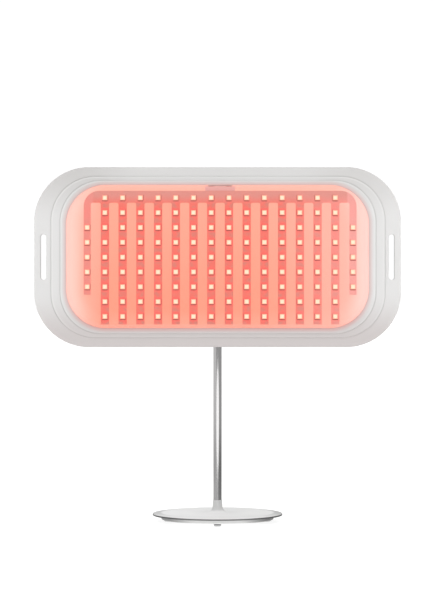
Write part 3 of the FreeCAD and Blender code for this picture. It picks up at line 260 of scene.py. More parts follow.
# %% Piece helper
def make_piece(name, bm, body, material, stands_for=(), crease=40):
    tidy(bm)
    mesh = bpy.data.meshes.new(name)
    bm.to_mesh(mesh)
    bm.free()
    for polygon in mesh.polygons:
        polygon.use_smooth = True
    mesh.set_sharp_from_angle(angle=radians(crease))
    mesh.materials.append(material)
    piece = bpy.data.objects.new(name, mesh)
    bpy.context.collection.objects.link(piece)
    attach(piece, body)
    if stands_for:
        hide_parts(*stands_for)
    print(name, len(mesh.polygons), "faces")
    return piece


# %% [markdown]
# ## Rounded outlines and lofts
# Nearly all of the panel is one outline, a rectangle with round corners, repeated at different
# depths. A circle whose four quarters move apart is that outline, and bridging one outline to the
# next gives clean quads, so the moulding's small radii can be modelled in full. Each pair of
# outlines is bridged on its own, because a bridge between loops that have faces can twist.


# %% Outline and loft helpers
# Each moulded line of the panel: how far in from the panel's side and top it runs, the radius of its
# corners, and how far its middle lies aside and up, all in millimetres.
RIM = (0.0, 0.0, PANEL_CORNER, 0.0, 0.0)
OUTER_STEP = (17.2, 9.8, 46.0, 0.5, 0.0)
INNER_STEP = (26.7, 14.0, 43.0, 0.5, 0.0)
WINDOW = (33.3, 19.2, 41.0, 0.0, 0.6)


def outline(bm, width, height, corner, y, middle=(0.0, PANEL_MIDDLE), steps=12):
    """A rounded rectangle seen from the front, in millimetres, as a set of edges."""
    count = steps * 4
    verts = bmesh.ops.create_circle(bm, cap_ends=False, radius=corner, segments=count)["verts"]
    half_step = Matrix.Rotation(pi / count, 3, "Z")
    bmesh.ops.rotate(bm, verts=verts, cent=(0, 0, 0), matrix=half_step)
    reach = corner * cos(pi / count)
    for index, share in ((0, width / 2 - reach), (1, height / 2 - reach)):
        for side in (-1, 1):
            moved = [vert for vert in verts if vert.co[index] * side > 0]
            step = [0.0, 0.0, 0.0]
            step[index] = share * side
            bmesh.ops.translate(bm, verts=moved, vec=step)
    bmesh.ops.rotate(bm, verts=verts, cent=(0, 0, 0), matrix=Matrix.Rotation(pi / 2, 3, "X"))
    bmesh.ops.translate(bm, verts=verts, vec=(middle[0], y, middle[1]))
    bmesh.ops.scale(bm, verts=verts, vec=(MM, MM, MM))
    return {edge for vert in verts for edge in vert.link_edges}


def loft(bm, rows, ring=False, **places):
    """Bridge outlines in turn. A ring closes on itself, and anything else is capped."""
    following = rows[1:] + rows[:1] if ring else rows[1:]
    for first, second in zip(rows, following):
        pair = outline(bm, *first, **places) | outline(bm, *second, **places)
        bmesh.ops.bridge_loops(bm, edges=list(pair))
    if not ring:
        for row in (rows[0], rows[-1]):
            bmesh.ops.edgeloop_fill(bm, edges=list(outline(bm, *row, **places)))
    tidy(bm)


def tidy(bm):
    """Merge the seams and point every face outwards."""
    bmesh.ops.remove_doubles(bm, verts=bm.verts, dist=1e-7)
    bmesh.ops.recalc_face_normals(bm, faces=bm.faces)


def inset(margins, grow, y):
    """One of the panel's outlines, grown all round by some millimetres, at a depth."""
    side, top, corner, aside, lift = margins
    width, height = PANEL_WIDTH + (grow - side) * 2, PANEL_HEIGHT + (grow - top) * 2
    return (width, height, max(corner + grow, 0.5), y, (aside, PANEL_MIDDLE + lift))


def quarter(margins, start_y, end_y, radius, outwards=True, steps=4):
    """Rows round a moulded edge: from its wall to its face, or from its face to its wall."""
    rows = []
    for step in range(steps + 1):
        turn = pi / 2 * step / steps
        if outwards:
            away, along = radius * (1 - cos(turn)), sin(turn)
        else:
            away, along = radius * (1 - sin(turn)), 1 - cos(turn)
        rows.append(inset(margins, -away, start_y + (end_y - start_y) * along))
    return rows


def cut(piece, cutter):
    """Take the cutter's shape out of a piece for good, and delete the cutter."""
    modifier = piece.modifiers.new("cut", "BOOLEAN")
    modifier.operation = "DIFFERENCE"
    modifier.solver = "EXACT"
    modifier.object = cutter
    shaped = piece.evaluated_get(bpy.context.evaluated_depsgraph_get())
    mesh = bpy.data.meshes.new_from_object(shaped)
    piece.modifiers.clear()
    piece.data = mesh
    mesh.name = piece.name
    bpy.data.objects.remove(cutter)


print("outline helpers ready")

# %% [markdown]
# ## Silicone
# The frame and the back skin are moulded in warm white silicone. It is matt, its colour drifts a
# little, and a very fine grain from the mould breaks up the shine. On the frame, shade is painted
# in the hollows of its steps, on the slot walls and towards its top and bottom, and highlights on
# the lips of its steps. Near the window a faint pink glow and a little shade are painted in, for
# the red light that the soft material carries along.


# %% Silicone finish
def outline_distance(place, margins):
    """Metres outside one of the panel's rounded outlines, and negative inside it."""
    side, top, corner, aside, lift = margins
    x, _, z = axes(place)
    across = abs(x - aside * MM) - (PANEL_WIDTH / 2 - side - corner) * MM
    upright = abs(z - (PANEL_MIDDLE + lift) * MM) - (PANEL_HEIGHT / 2 - top - corner) * MM
    far_x, far_z = across.at_least(0.0), upright.at_least(0.0)
    outside = (far_x * far_x + far_z * far_z).root()
    return outside + across.at_least(upright).at_most(0.0) - corner * MM


SLOT_PLACE = 180.2
SLOT_WIDTH = 5.2
SLOT_HEIGHT = 46.9


def slot_distance(place):
    """Metres outside the nearest strap slot."""
    x, _, z = axes(place)
    across = abs(x) - SLOT_PLACE * MM
    reach = (SLOT_HEIGHT - SLOT_WIDTH) / 2 * MM
    along = (abs(z - PANEL_MIDDLE * MM) - reach).at_least(0.0)
    return (across * across + along * along).root() - SLOT_WIDTH / 2 * MM


def band(distance, middle, half):
    """1 where a distance is near the middle, falling to 0 within half, all in millimetres."""
    return 1 - abs(distance - middle * MM).ramp(0.0, half * MM)


SHADE_GREY = colour(150, 148, 146)


def frame_finish(name, tint):
    """Silicone with painted shade in its step hollows, on its slot walls and at top and bottom, painted
    highlights on its step lips, and a painted pink glow at the window.
    """
    material, place = start(name)
    cloud = noise(place, 14.0, 2.0)
    grain = noise(place, 2600.0, 2.0)
    x, _, z = axes(place)
    height = z - PANEL_MIDDLE * MM
    outer = outline_distance(place, OUTER_STEP)
    inner = outline_distance(place, INNER_STEP)
    window = outline_distance(place, WINDOW)
    grooves = band(outer, 0.35, 0.9).at_least(band(inner, 0.35, 0.9))
    lips = band(outer, -1.1, 1.1).at_least(band(inner, -1.1, 1.1))
    top_middle = height.ramp(0.05, 0.07) * (1 - abs(x).ramp(0.09, 0.15))
    upper = z.ramp(0.192, 0.225) * (1 - top_middle * 0.7)
    base = cloud.blend(tint, tuple(value * 0.96 for value in tint))
    # Painted shade: darker towards the top, most at the corners, and towards the bottom.
    corners = abs(x).ramp(0.07, 0.15) * 0.4 + (0 - x).ramp(0.07, 0.15) * 0.25
    top_shade = height.ramp(0.035, 0.09) * (corners + 0.3)
    base = top_shade.blend(base, (0.5, 0.488, 0.48))
    low_side = (0 - height).ramp(0.035, 0.085)
    base = (low_side * 0.82).blend(base, (0.485, 0.444, 0.437))
    # Painted shade in the hollow at the foot of each step.
    base = (grooves * upper * 0.42).blend(base, SHADE_GREY)
    # Painted highlight on the lip of each step.
    base = (lips * upper * 0.5).blend(base, tuple(value * 1.07 for value in tint))
    # A painted pink glow and a little painted shade near the window, for the LEDs' light.
    near_window = (1 - window.ramp(0.0, 0.0055)) * (1 - upper * 0.15)
    base = (near_window * (low_side * 0.4 + 0.6)).blend(base, colour(193, 153, 149))
    at_slot = slot_distance(place)
    # Painted shade on the outer wall of each strap slot.
    wall = band(at_slot, 0.3, 0.9) * (abs(x) - SLOT_PLACE * MM).ramp(0.001, 0.003)
    base = (wall * 0.6).blend(base, SHADE_GREY)
    return close(
        material,
        base_color=base,
        roughness=grain * 0.12 + 0.5,
        normal=(grain * 0.00002 + noise(place, 220.0) * 0.00003).bump(0.35, 1.0),
        emission_color=near_window.blend((0.0, 0.0, 0.0), colour(60, 18, 16)),
        emission_strength=0.45,
    )


frame_silicone = frame_finish("frame_silicone", (0.63, 0.625, 0.62))
print("made", frame_silicone.name)

# %% [markdown]
# ## The frame of the panel
# The frame is one moulding: a thin flange, then two low steps up to the window. Boxes with a bevel
# would give steps of one width, but the real steps are wider at the ends than at the top. So each
# moulded line is its own outline, and the small radii between them are rows of outlines too.

# %% Silicone frame
FRAME_CREASE = 50
FLANGE_ROUND = 1.1
STEP_ROUND = 0.45
SEAT_WIDTH = 4


def step_rows(margins, foot, face):
    """A low step up: a hollow at its foot, its wall, and a round edge on top."""
    return [
        inset(margins, 0.5, foot),
        inset(margins, 0.15, foot - 0.08),
        inset(margins, 0, foot - 0.3),
        *quarter(margins, face + STEP_ROUND, face, STEP_ROUND, steps=3),
    ]


def make_frame():
    bm = bmesh.new()
    rows = [
        *quarter(RIM, FLANGE_BACK - FLANGE_ROUND, FLANGE_BACK, FLANGE_ROUND)[::-1],
        *quarter(RIM, FLANGE_FACE + FLANGE_ROUND, FLANGE_FACE, FLANGE_ROUND),
        *step_rows(OUTER_STEP, FLANGE_FACE, OUTER_FACE),
        *step_rows(INNER_STEP, OUTER_FACE, INNER_FACE),
        inset(WINDOW, 0.4, INNER_FACE),
        inset(WINDOW, 0.1, INNER_FACE + 0.12),
        inset(WINDOW, 0, INNER_FACE + 0.4),
        inset(WINDOW, 0, SEAT),
        inset(WINDOW, SEAT_WIDTH, SEAT),
        inset(WINDOW, SEAT_WIDTH, PLATEAU_BACK),
        inset(OUTER_STEP, 0, PLATEAU_BACK),
        inset(OUTER_STEP, 0, FLANGE_BACK),
    ]
    loft(bm, rows, ring=True)
    return make_piece("silicone_frame", bm, "panel", frame_silicone,
                      ["front_frame"], FRAME_CREASE)


silicone_frame = make_frame()

# %% [markdown]
# ## The strap slots
# Each end has an upright slot for a strap. A cutter with flared mouths leaves rounded lips, so the
# slot looks moulded and not punched.

# %% Cut the strap slots
def make_slot_cutter(x):
    """A cutter for one slot. Its profile is how much wider the slot is at each depth below a face."""
    bm = bmesh.new()
    width, height = SLOT_WIDTH, SLOT_HEIGHT
    profile = [(1.1, -0.5), (1.1, 0.0), (0.6, 0.1), (0.2, 0.4), (0.0, 0.9)]
    levels = [(away, FLANGE_FACE + y) for away, y in profile]
    levels += [(away, FLANGE_BACK - y) for away, y in reversed(profile)]
    rows = [(width + away * 2, height + away * 2, width / 2 + away, y) for away, y in levels]
    loft(bm, rows, middle=(x, PANEL_MIDDLE), steps=6)
    mesh = bpy.data.meshes.new("slot_cutter")
    bm.to_mesh(mesh)
    bm.free()
    cutter = bpy.data.objects.new("slot_cutter", mesh)
    bpy.context.collection.objects.link(cutter)
    return cutter


for side in (-1, 1):
    cut(silicone_frame, make_slot_cutter(side * SLOT_PLACE))
silicone_frame.data.set_sharp_from_angle(angle=radians(FRAME_CREASE))
print("frame with slots:", len(silicone_frame.data.polygons), "faces")

# %% [markdown]
# ## Clear silicone for the window
# The window is a thick clear sheet that stands a little proud. Glass-like refraction would hide
# the board from the lights and cost much noise, so the clear part is a Transparent shader, mixed
# with a glossy skin by how steeply it is seen. Its moulded rim is milkier.

# %% Window finish
def make_window_finish():
    material, place = start("window_silicone")
    rim = outline_distance(place, WINDOW).ramp(-0.006, 0.0)
    shine = place.node("ShaderNodeFresnel", None, {"IOR": 1.41})
    tree = material.node_tree
    # The skin's pink and its faint glow are painted light from the LEDs behind it.
    close(
        material,
        base_color=rim.blend(colour(255, 214, 204), colour(255, 226, 220)),
        roughness=noise(place, 900.0) * 0.06 + 0.16,
        normal=(noise(place, 160.0) * 0.00004).bump(0.5, 1.0),
        emission_color=colour(255, 190, 176),
        emission_strength=0.3,
    )
    clear = place.node("ShaderNodeBsdfTransparent", None, {"Color": (1.0, 0.985, 0.975)})
    skin = Wire(tree.nodes["Principled BSDF"].outputs[0])
    share = (shine * 0.5 + rim * 0.1 + 0.015).at_most(1.0)
    mixed = place.node("ShaderNodeMixShader", None, {0: share, 1: clear, 2: skin})
    join(tree, mixed, tree.nodes["Material Output"].inputs["Surface"])
    return material


window_silicone = make_window_finish()
print("made", window_silicone.name)

# %% Window sheet
WINDOW_GAP = 0.15
WINDOW_ROUND = 1.1
LED_CLEARANCE = 0.08


def make_window():
    bm = bmesh.new()
    side, top, corner, aside, lift = WINDOW
    edge = (side + WINDOW_GAP, top + WINDOW_GAP, corner - WINDOW_GAP, aside, lift)
    hem = SEAT_WIDTH - 0.2
    rows = [
        inset(edge, -0.2, LED_FACE - LED_CLEARANCE),
        inset(edge, hem, LED_FACE - LED_CLEARANCE),
        inset(edge, hem, SEAT),
        inset(edge, 0, SEAT),
        *quarter(edge, FACE + WINDOW_ROUND, FACE, WINDOW_ROUND, steps=5),
    ]
    loft(bm, rows)
    make_piece("clear_window", bm, "panel", window_silicone,
               ["window_sheet"], FRAME_CREASE)


make_window()

# %% [markdown]
# ## The glowing sheet behind the board
# Light from the LEDs fills the white sheet behind them. Its colour is salmon in the middle and
# paler towards the window's edge, where the clear sheet scatters it. A glow that is modelled with
# hundreds of lamps would be slow, so the sheet itself gives the light.

# %% Glowing sheet finish
def make_glow_finish():
    material, place = start("backing_silicone")
    x, _, z = axes(place)
    inside = outline_distance(place, WINDOW)
    edge = inside.ramp(-0.019, -0.001)
    bottom = (PANEL_MIDDLE * MM - z).ramp(0.045, 0.075)
    wide_edge = inside.ramp(-0.033, 0.0) * (1 - bottom * 0.3)
    side = abs(x).ramp(0.118, 0.158)
    right = x.ramp(0.03, 0.15)
    cloud = noise(place, 22.0, 2.0)
    rise = (z - PANEL_MIDDLE * MM).ramp(-0.06, 0.065)
    middle = rise.blend(colour(246, 149, 122), colour(248, 165, 143))
    middle = (cloud * 0.3).blend(middle, colour(240, 160, 140))
    # Paler towards the right: a painted sheen.
    middle = (right * 0.64).blend(middle, colour(248, 191, 181))
    left = (0 - x).ramp(0.112, 0.128) * (1 - bottom)
    middle = (left * 0.16).blend(middle, colour(255, 208, 202))
    tint = (edge * (0.68 - bottom * 0.55)).blend(middle, colour(255, 192, 176))
    pale = x.ramp(-0.05, 0.05).blend(colour(255, 207, 198), colour(255, 213, 208))
    tint = (side * wide_edge).blend(tint, pale)
    return close(
        material,
        base_color=tint.dimmed(0.45),
        roughness=noise(place, 1500.0) * 0.1 + 0.55,
        normal=(noise(place, 700.0) * 0.00003).bump(0.3, 1.0),
        emission_color=tint,
        emission_strength=0.66,
    )


backing_silicone = make_glow_finish()
wear("backing_sheet", backing_silicone)
print("made", backing_silicone.name)

# %% [markdown]
# ## The comb-shaped board
# The LEDs sit on a thin flexible board with long strips. Its pinkish red is a painted glow of their
# light, purer near the LEDs, duller between them and paler towards the right. Below each LED and on
# its inner side a dark line of shadow is painted. The grid's pitch comes from the LED node's box,
# so the pattern stays with it.

# %% Board finish
led_low, led_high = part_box("led_chips")
COLUMNS, ROWS, END_ROWS = 14, 9, 5
LED_SIZE = 5.0
BOARD_MIDDLE = (led_low.x + led_high.x) / 2 / MM
COLUMN_PITCH = ((led_high.x - led_low.x) / MM - LED_SIZE) / (COLUMNS + 1)
ROW_PITCH = ((led_high.z - led_low.z) / MM - LED_SIZE) / (ROWS - 1)
GRID_LOW = led_low.z / MM + LED_SIZE / 2
print("LED pitch", round(COLUMN_PITCH, 2), round(ROW_PITCH, 2), "from", round(GRID_LOW, 2))


def grid_places():
    """The centre of every LED, in millimetres."""
    for column in range(COLUMNS + 2):
        x = BOARD_MIDDLE + (column - (COLUMNS + 1) / 2) * COLUMN_PITCH
        at_end = column in (0, COLUMNS + 1)
        skipped = (ROWS - END_ROWS) // 2 if at_end else 0
        for row in range(skipped, ROWS - skipped):
            yield x, GRID_LOW + row * ROW_PITCH


def cell_offsets(place):
    """Millimetres from the nearest LED's centre, across and up."""
    x, _, z = axes(place)
    column = (x / MM - BOARD_MIDDLE) / COLUMN_PITCH + 100
    row = (z / MM - GRID_LOW) / ROW_PITCH + 0.5 + 100
    across = (column.maths("FRACT", column) - 0.5) * COLUMN_PITCH
    up = (row.maths("FRACT", row) - 0.5) * ROW_PITCH
    return x, z, across, up


def make_board_finish():
    material, place = start("flex_board")
    x, z, across, up = cell_offsets(place)
    far = (across * across + up * up).root()
    cloud = noise(place, 260.0, 3.0)
    strip = cloud.blend(colour(240, 105, 94), colour(232, 117, 102))
    # Purer red near each LED: a painted pool of light.
    tint = far.ramp(3.0, 7.5).blend(colour(246, 101, 94), strip)
    patch = noise(place, 170.0, 1.0).ramp(0.4, 0.66) * abs(up).ramp(3.6, 6.4)
    tint = (patch * 0.75).blend(tint, colour(206, 128, 116))
    # Paler towards the right: a painted sheen.
    tint = (x.ramp(0.05, 0.16) * 0.6).blend(tint, colour(246, 172, 168))
    bar = z.ramp(0.330, 0.342)
    tint = (bar * 0.85).blend(tint, cloud.blend(colour(220, 147, 139), colour(210, 151, 143)))
    tab = z.ramp(0.3458, 0.3462)
    tint = tab.blend(tint, colour(224, 168, 166))
    ends = abs(x - BOARD_MIDDLE * MM).ramp(0.131, 0.1325)
    end_tint = x.ramp(-0.05, 0.05).blend(colour(231, 145, 138), colour(238, 170, 166))
    tint = (ends * 0.75).blend(tint, end_tint)
    # Below each LED and on its inner side, a dark line of painted shadow.
    below = (1 - up.ramp(-2.7, -2.5)) * up.ramp(-3.9, -3.4) * (1 - abs(across).ramp(2.4, 3.2))
    inner = across * (x - BOARD_MIDDLE * MM).maths("SIGN", BOARD_MIDDLE * MM - x)
    beside = inner.ramp(2.4, 2.6) * (1 - inner.ramp(3.2, 3.8)) * (1 - abs(up).ramp(2.5, 3.4))
    lonely = ends * z.ramp(0.3135, 0.3145)
    painted_shadow = below.at_least(beside * 0.55) * (1 - lonely)
    tint = painted_shadow.blend(tint, colour(150, 58, 48))
    return close(
        material,
        base_color=tint.dimmed(0.45),
        roughness=cloud * 0.15 + 0.35,
        normal=(noise(place, 900.0) * 0.00004).bump(0.4, 1.0),
        emission_color=tint,
        emission_strength=0.55,
    )


flex_board = make_board_finish()
wear("led_board", flex_board)

# %% [markdown]
# ## The LED packages
# Each LED is a 5 mm package: a moulded body with a shallow cup full of phosphor. There are 136, so
# each has only a few faces: a cube, tapered, with its front inset for the rim and pushed in for
# the cup. Faces of the cup get the glowing slot.

# %% LED finishes
def make_led_body():
    material, place = start("led_body")
    cloud = noise(place, 400.0)
    tint = cloud.blend(colour(248, 186, 156), colour(240, 172, 146))
    return close(material, base_color=tint, roughness=cloud * 0.1 + 0.35,
                 normal=(cloud * 0.00004).bump(0.2, 1.0),
                 emission_color=tint, emission_strength=0.3)


def make_led_phosphor():
    material, place = start("led_phosphor")
    speck = noise(place, 2600.0, 3.0)
    tint = speck.blend(colour(255, 242, 218), colour(255, 233, 203))
    return close(material, base_color=tint.dimmed(0.6), roughness=speck * 0.1 + 0.25,
                 normal=(speck * 0.00003).bump(0.3, 1.0),
                 emission_color=tint, emission_strength=0.5)


led_body, led_phosphor = make_led_body(), make_led_phosphor()


LED_TAPER = 0.94
LED_RIM = 0.42
CUP_WALL = 0.12
CUP_DEPTH = 0.18


def make_leds():
    bm = bmesh.new()
    height = BOARD_FACE - LED_FACE
    for x, z in grid_places():
        verts = bmesh.ops.create_cube(bm, size=1.0)["verts"]
        bmesh.ops.scale(bm, verts=verts, vec=(LED_SIZE, height, LED_SIZE))
        front = [vert for vert in verts if vert.co.y < 0]
        bmesh.ops.scale(bm, verts=front, vec=(LED_TAPER, 1, LED_TAPER))
        bmesh.ops.translate(bm, verts=verts, vec=(x, (BOARD_FACE + LED_FACE) / 2, z))
        face = next(face for face in front[0].link_faces if all(vert in front for vert in face.verts))
        for thickness, depth in ((LED_RIM, 0.0), (CUP_WALL, -CUP_DEPTH)):
            bmesh.ops.inset_region(bm, faces=[face], thickness=thickness, depth=depth,
                                   use_even_offset=True)
        face.material_index = 1
    bmesh.ops.scale(bm, verts=bm.verts, vec=(MM, MM, MM))
    piece = make_piece("led_packages", bm, "panel", led_body, ["led_chips"], 20)
    piece.data.materials.append(led_phosphor)


make_leds()

# %% [markdown]
# ## Turned parts
# The base, its neck, the post and the feet are round. A lathe profile is a line of a few points
# whose corners are rounded with a vertex bevel, and spin carries it once round its axis.


# %% Lathe helper
def turned(bm, points, rounds=(), steps=96, centre=(0.0, 0.0), segments=5):
    """Spin a profile of (radius, height) points, in millimetres. Rounds are (point, radius)."""
    earlier = set(bm.verts)
    verts = [bm.verts.new((radius * MM, 0, height * MM)) for radius, height in points]
    for first, second in zip(verts, verts[1:]):
        bm.edges.new((first, second))
    for index, radius in rounds:
        bmesh.ops.bevel(bm, geom=[verts[index]], offset=radius * MM, offset_type="OFFSET",
                        segments=segments, profile=0.5, affect="VERTICES", material=-1)
    line = [vert for vert in bm.verts if vert not in earlier]
    line += dict.fromkeys(edge for vert in line for edge in vert.link_edges)
    bmesh.ops.spin(bm, geom=line, cent=(0, 0, 0), axis=(0, 0, 1), dvec=(0, 0, 0),
                   angle=2 * pi, steps=steps, use_merge=True, use_normal_flip=False, use_duplicate=False)
    made = [vert for vert in bm.verts if vert not in earlier]
    bmesh.ops.translate(bm, verts=made, vec=(centre[0] * MM, centre[1] * MM, 0))


print("lathe ready")

# %% [markdown]
# ## Powder coat
# The base cover and its neck have a satin, slightly textured coat of warm white paint. The
# photograph shows the plate duller on its neck, towards the front and in a ring inside its edge,
# and the edge itself as a thin dark line, so these four are masks over the paint.

# %% Paint finish
BASE_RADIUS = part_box("base_cover")[1].x / MM
BASE_RIM_LOW = 7.0
BASE_RIM_HIGH = 8.75


def base_shading(place, paint, cloud, tint):
    """Paint shade on the neck, the front and a ring of the base, and a dark painted reflection on its
    edge.
    """
    def duller(share):
        return tuple(value * share for value in tint)

    x, y, z = axes(place)
    away = (x * x + y * y).root()
    front = (0 - y).ramp(0.0, 0.055)
    # The neck, the front and a ring inside the edge are painted duller, as shade.
    paint = z.ramp(0.0102, 0.0135).blend(paint, duller(0.7))
    near_neck = 1 - away.ramp(0.008, 0.035)
    paint = (near_neck * 0.22 + front * 0.28).at_most(1.0).blend(paint, duller(0.66))
    ring = away.ramp((BASE_RADIUS - 11) * MM, (BASE_RADIUS - 7) * MM) * (1 - front)
    paint = ring.blend(paint, duller(0.6))
    # The edge's thin dark line is a painted dark reflection, darkest at its ends.
    edge = away.ramp((BASE_RADIUS - 0.45) * MM, (BASE_RADIUS - 0.15) * MM)
    edge = edge * z.ramp((BASE_RIM_LOW - 0.1) * MM, BASE_RIM_LOW * MM)
    edge = edge * (1 - z.ramp((BASE_RIM_HIGH - 0.2) * MM, BASE_RIM_HIGH * MM))
    dark = cloud.blend(even_grey(0.12), even_grey(0.17))
    dark = abs(x).ramp(0.02, 0.06).blend(dark, even_grey(0.03))
    return edge.blend(paint, dark)


def powder_coat(name, tint, shading=None):
    material, place = start(name)
    peel = noise(place, 1700.0, 2.0)
    cloud = noise(place, 18.0)
    base = cloud.blend(tint, tuple(value * 0.97 for value in tint))
    if shading:
        base = shading(place, base, cloud, tint)
    return close(
        material,
        base_color=base,
        roughness=peel * 0.1 + 0.36,
        normal=(peel * 0.00003).bump(0.3, 1.0),
        coat_weight=0.15,
        coat_roughness=0.25,
    )


base_paint = powder_coat("base_paint", (0.76, 0.76, 0.755), base_shading)
head_paint = powder_coat("head_metal", (0.7, 0.7, 0.695))
bracket_paint = powder_coat("bracket_metal", (0.7, 0.7, 0.695))
wear("swivel_head", head_paint)
wear("dock_plate", bracket_paint)

# %% Base cover
NECK_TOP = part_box("base_cover")[1].z / MM
NECK_BORE = 4.4
PLATE_TOP = 9.6
PAN_SEAT = 58.5


def make_base_cover():
    bm = bmesh.new()
    points = [
        (NECK_BORE, NECK_TOP - 0.1),
        (4.75, NECK_TOP),
        (5.6, PLATE_TOP + 1.0),
        (13.0, PLATE_TOP + 0.02),
        (BASE_RADIUS - 7.3, PLATE_TOP),
        (BASE_RADIUS, BASE_RIM_HIGH),
        (BASE_RADIUS, BASE_RIM_LOW),
        (PAN_SEAT, BASE_RIM_LOW),
        (PAN_SEAT, BASE_RIM_LOW + 1.0),
        (NECK_BORE, BASE_RIM_LOW + 1.0),
        (NECK_BORE, NECK_TOP - 0.1),
    ]
    turned(bm, points, [(1, 0.2), (2, 5.0), (4, 1.2), (5, 0.5), (6, 0.4)], steps=128)
    make_piece("base_shell", bm, "stand", base_paint, ["base_cover"], 45)


make_base_cover()

# %% [markdown]
# ## The pan and its feet
# Under the cover a smaller dished pan stands on four dark rubber feet. Its sides are painted dark
# as shade, where the cover's edge keeps the light off, and its lower edge at the front is painted
# pale as a highlight.

# %% Pan and feet
def matte_plastic(name, tint, rough=0.5):
    material, place = start(name)
    spark = noise(place, 2200.0, 2.0)
    cloud = noise(place, 30.0)
    base = cloud.blend(tint, tuple(value * 0.95 for value in tint))
    return close(material, base_color=base, roughness=spark * 0.12 + rough,
                 normal=(spark * 0.00003).bump(0.35, 1.0))


def pan_finish():
    """Pale plastic, with painted shade on its sides and a painted highlight on its lower edge at the
    front.
    """
    material, place = start("pan_plastic")
    spark = noise(place, 2200.0, 2.0)
    x, _, z = axes(place)
    sides = abs(x).ramp(0.02, 0.056)
    # Painted shade on the sides, under the cover's edge, a little more on the right.
    side_shade = z.ramp(0.0018, 0.0042) * sides * (x.ramp(0.0, 0.05) * 0.15 + 0.8)
    base = noise(place, 30.0).blend((0.72, 0.72, 0.715), (0.68, 0.68, 0.675))
    # A painted highlight along the lower edge at the front.
    base = ((1 - z.ramp(0.0034, 0.0042)) * (1 - sides)).blend(base, (0.92, 0.92, 0.915))
    base = side_shade.blend(base, even_grey(0.1))
    return close(material, base_color=base, roughness=spark * 0.12 + 0.5,
                 normal=(spark * 0.00003).bump(0.35, 1.0))


pan_plastic = pan_finish()
wear("base_pan", pan_plastic)


def foot_rubber_finish():
    """Dark rubber whose lowest edge is painted pale, as light from the floor below."""
    material, place = start("foot_rubber")
    crumb = noise(place, 1400.0, 3.0)
    # The lowest edge is painted pale, as light from the floor.
    floor_lit = 1 - axes(place)[2].ramp(0.0008, 0.0021)
    base = (floor_lit * (crumb * 0.3 + 0.8)).blend(colour(92, 92, 94), colour(226, 226, 226))
    return close(material, base_color=base, roughness=crumb * 0.2 + 0.65,
                 normal=(crumb * 0.00006).bump(0.5, 1.0))


foot_rubber = foot_rubber_finish()


FOOT_CIRCLE = 52
FOOT_RADIUS = 3.9
FOOT_HEIGHT = 3.4


def make_feet():
    bm = bmesh.new()
    points = [(0, 0.25), (2.4, 0.25), (2.7, 0), (FOOT_RADIUS, 0), (FOOT_RADIUS, FOOT_HEIGHT),
              (0, FOOT_HEIGHT)]
    for x, y in ((0, -FOOT_CIRCLE), (FOOT_CIRCLE, 0), (0, FOOT_CIRCLE), (-FOOT_CIRCLE, 0)):
        turned(bm, points, [(3, 0.5)], steps=32, centre=(x, y), segments=3)
    make_piece("foot_pads", bm, "stand", foot_rubber, ["rubber_feet"])


make_feet()

# %% [markdown]
# ## The polished post
# A thin chromed tube. Its look is all reflections, so the finish is plain metal with faint
# lengthwise polishing lines, and the lights do the rest. Each end is turned down a little. A row of
# points beside each shoulder keeps its slope out of the shading of the long wall.

# %% Post
def polished(name, tint, rough=0.13):
    material, place = start(name)
    x, y, z = axes(place)
    lines = place.node("ShaderNodeCombineXYZ", None, {0: x * 900, 1: y * 900, 2: z * 12})
    streak = noise(lines, 1.0, 2.0)
    return close(
        material,
        base_color=streak.blend(tint, tuple(value * 0.88 for value in tint)),
        metallic=1.0,
        roughness=streak * 0.05 + rough,
        normal=(streak * 0.000004).bump(0.4, 1.0),
    )


post_chrome = polished("post_chrome", (0.46, 0.455, 0.455))
POST_LOW, POST_HIGH = (corner.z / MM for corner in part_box("post_tube"))
POST_RADIUS = 4.35
END_RADIUS = 4.1
POST_BORE = 3.3


def make_post():
    bm = bmesh.new()
    points = [
        (POST_BORE, POST_LOW),
        (END_RADIUS, POST_LOW),
        (POST_RADIUS, POST_LOW + 0.4),
        (POST_RADIUS, POST_LOW + 0.8),
        (POST_RADIUS, POST_HIGH - 3.6),
        (POST_RADIUS, POST_HIGH - 3.2),
        (END_RADIUS, POST_HIGH - 2.6),
        (END_RADIUS, POST_HIGH),
        (POST_BORE, POST_HIGH),
        (POST_BORE, POST_LOW),
    ]
    turned(bm, points, [(7, 0.2)], steps=64, segments=3)
    make_piece("polished_post", bm, "stand", post_chrome, ["post_tube"])


make_post()

# %% [markdown]
# ## Finishes of the parts behind the panel
# The housing, its button and the dock are fine satin mouldings. Screws and pins are turned steel
# with rings left by the tool. Inside are a board, a cell in silver film, leads and a clamp.

# %% Finishes of the hidden side
def turned_steel(name, tint=(0.62, 0.62, 0.63), rough=0.28):
    material, place = start(name)
    streak = noise(place, 1800.0, 3.0)
    return close(material, base_color=streak.blend(tint, tuple(value * 0.8 for value in tint)),
                 metallic=1.0, roughness=streak * 0.18 + rough, normal=(streak * 0.00001).bump(0.3, 1.0))


for node_name, slot_name, tint in (
    ("pod_case", "pod_plastic", (0.74, 0.735, 0.73)),
    ("dock_socket", "dock_plastic", (0.70, 0.695, 0.69)),
    ("hinge_washers", "washer_plastic", (0.03, 0.03, 0.03)),
    ("swivel_bush", "bush_plastic", (0.75, 0.75, 0.72)),
    ("battery_pack", "battery_wrap", (0.45, 0.47, 0.5)),
    ("battery_leads", "lead_insulation", (0.03, 0.03, 0.03)),
    ("flex_connector", "connector_plastic", (0.75, 0.72, 0.6)),
    ("tact_switch", "switch_plastic", (0.02, 0.02, 0.02)),
):
    wear(node_name, matte_plastic(slot_name, tint))


def lit_plastic(name, tint):
    """A light guide with a little lamp behind it."""
    material, place = start(name)
    cloud = noise(place, 900.0)
    return close(material, base_color=cloud.blend(tint, tuple(value * 0.8 for value in tint)),
                 roughness=cloud * 0.1 + 0.12, emission_color=tint, emission_strength=0.25,
                 normal=(cloud * 0.00002).bump(0.3, 1.0))


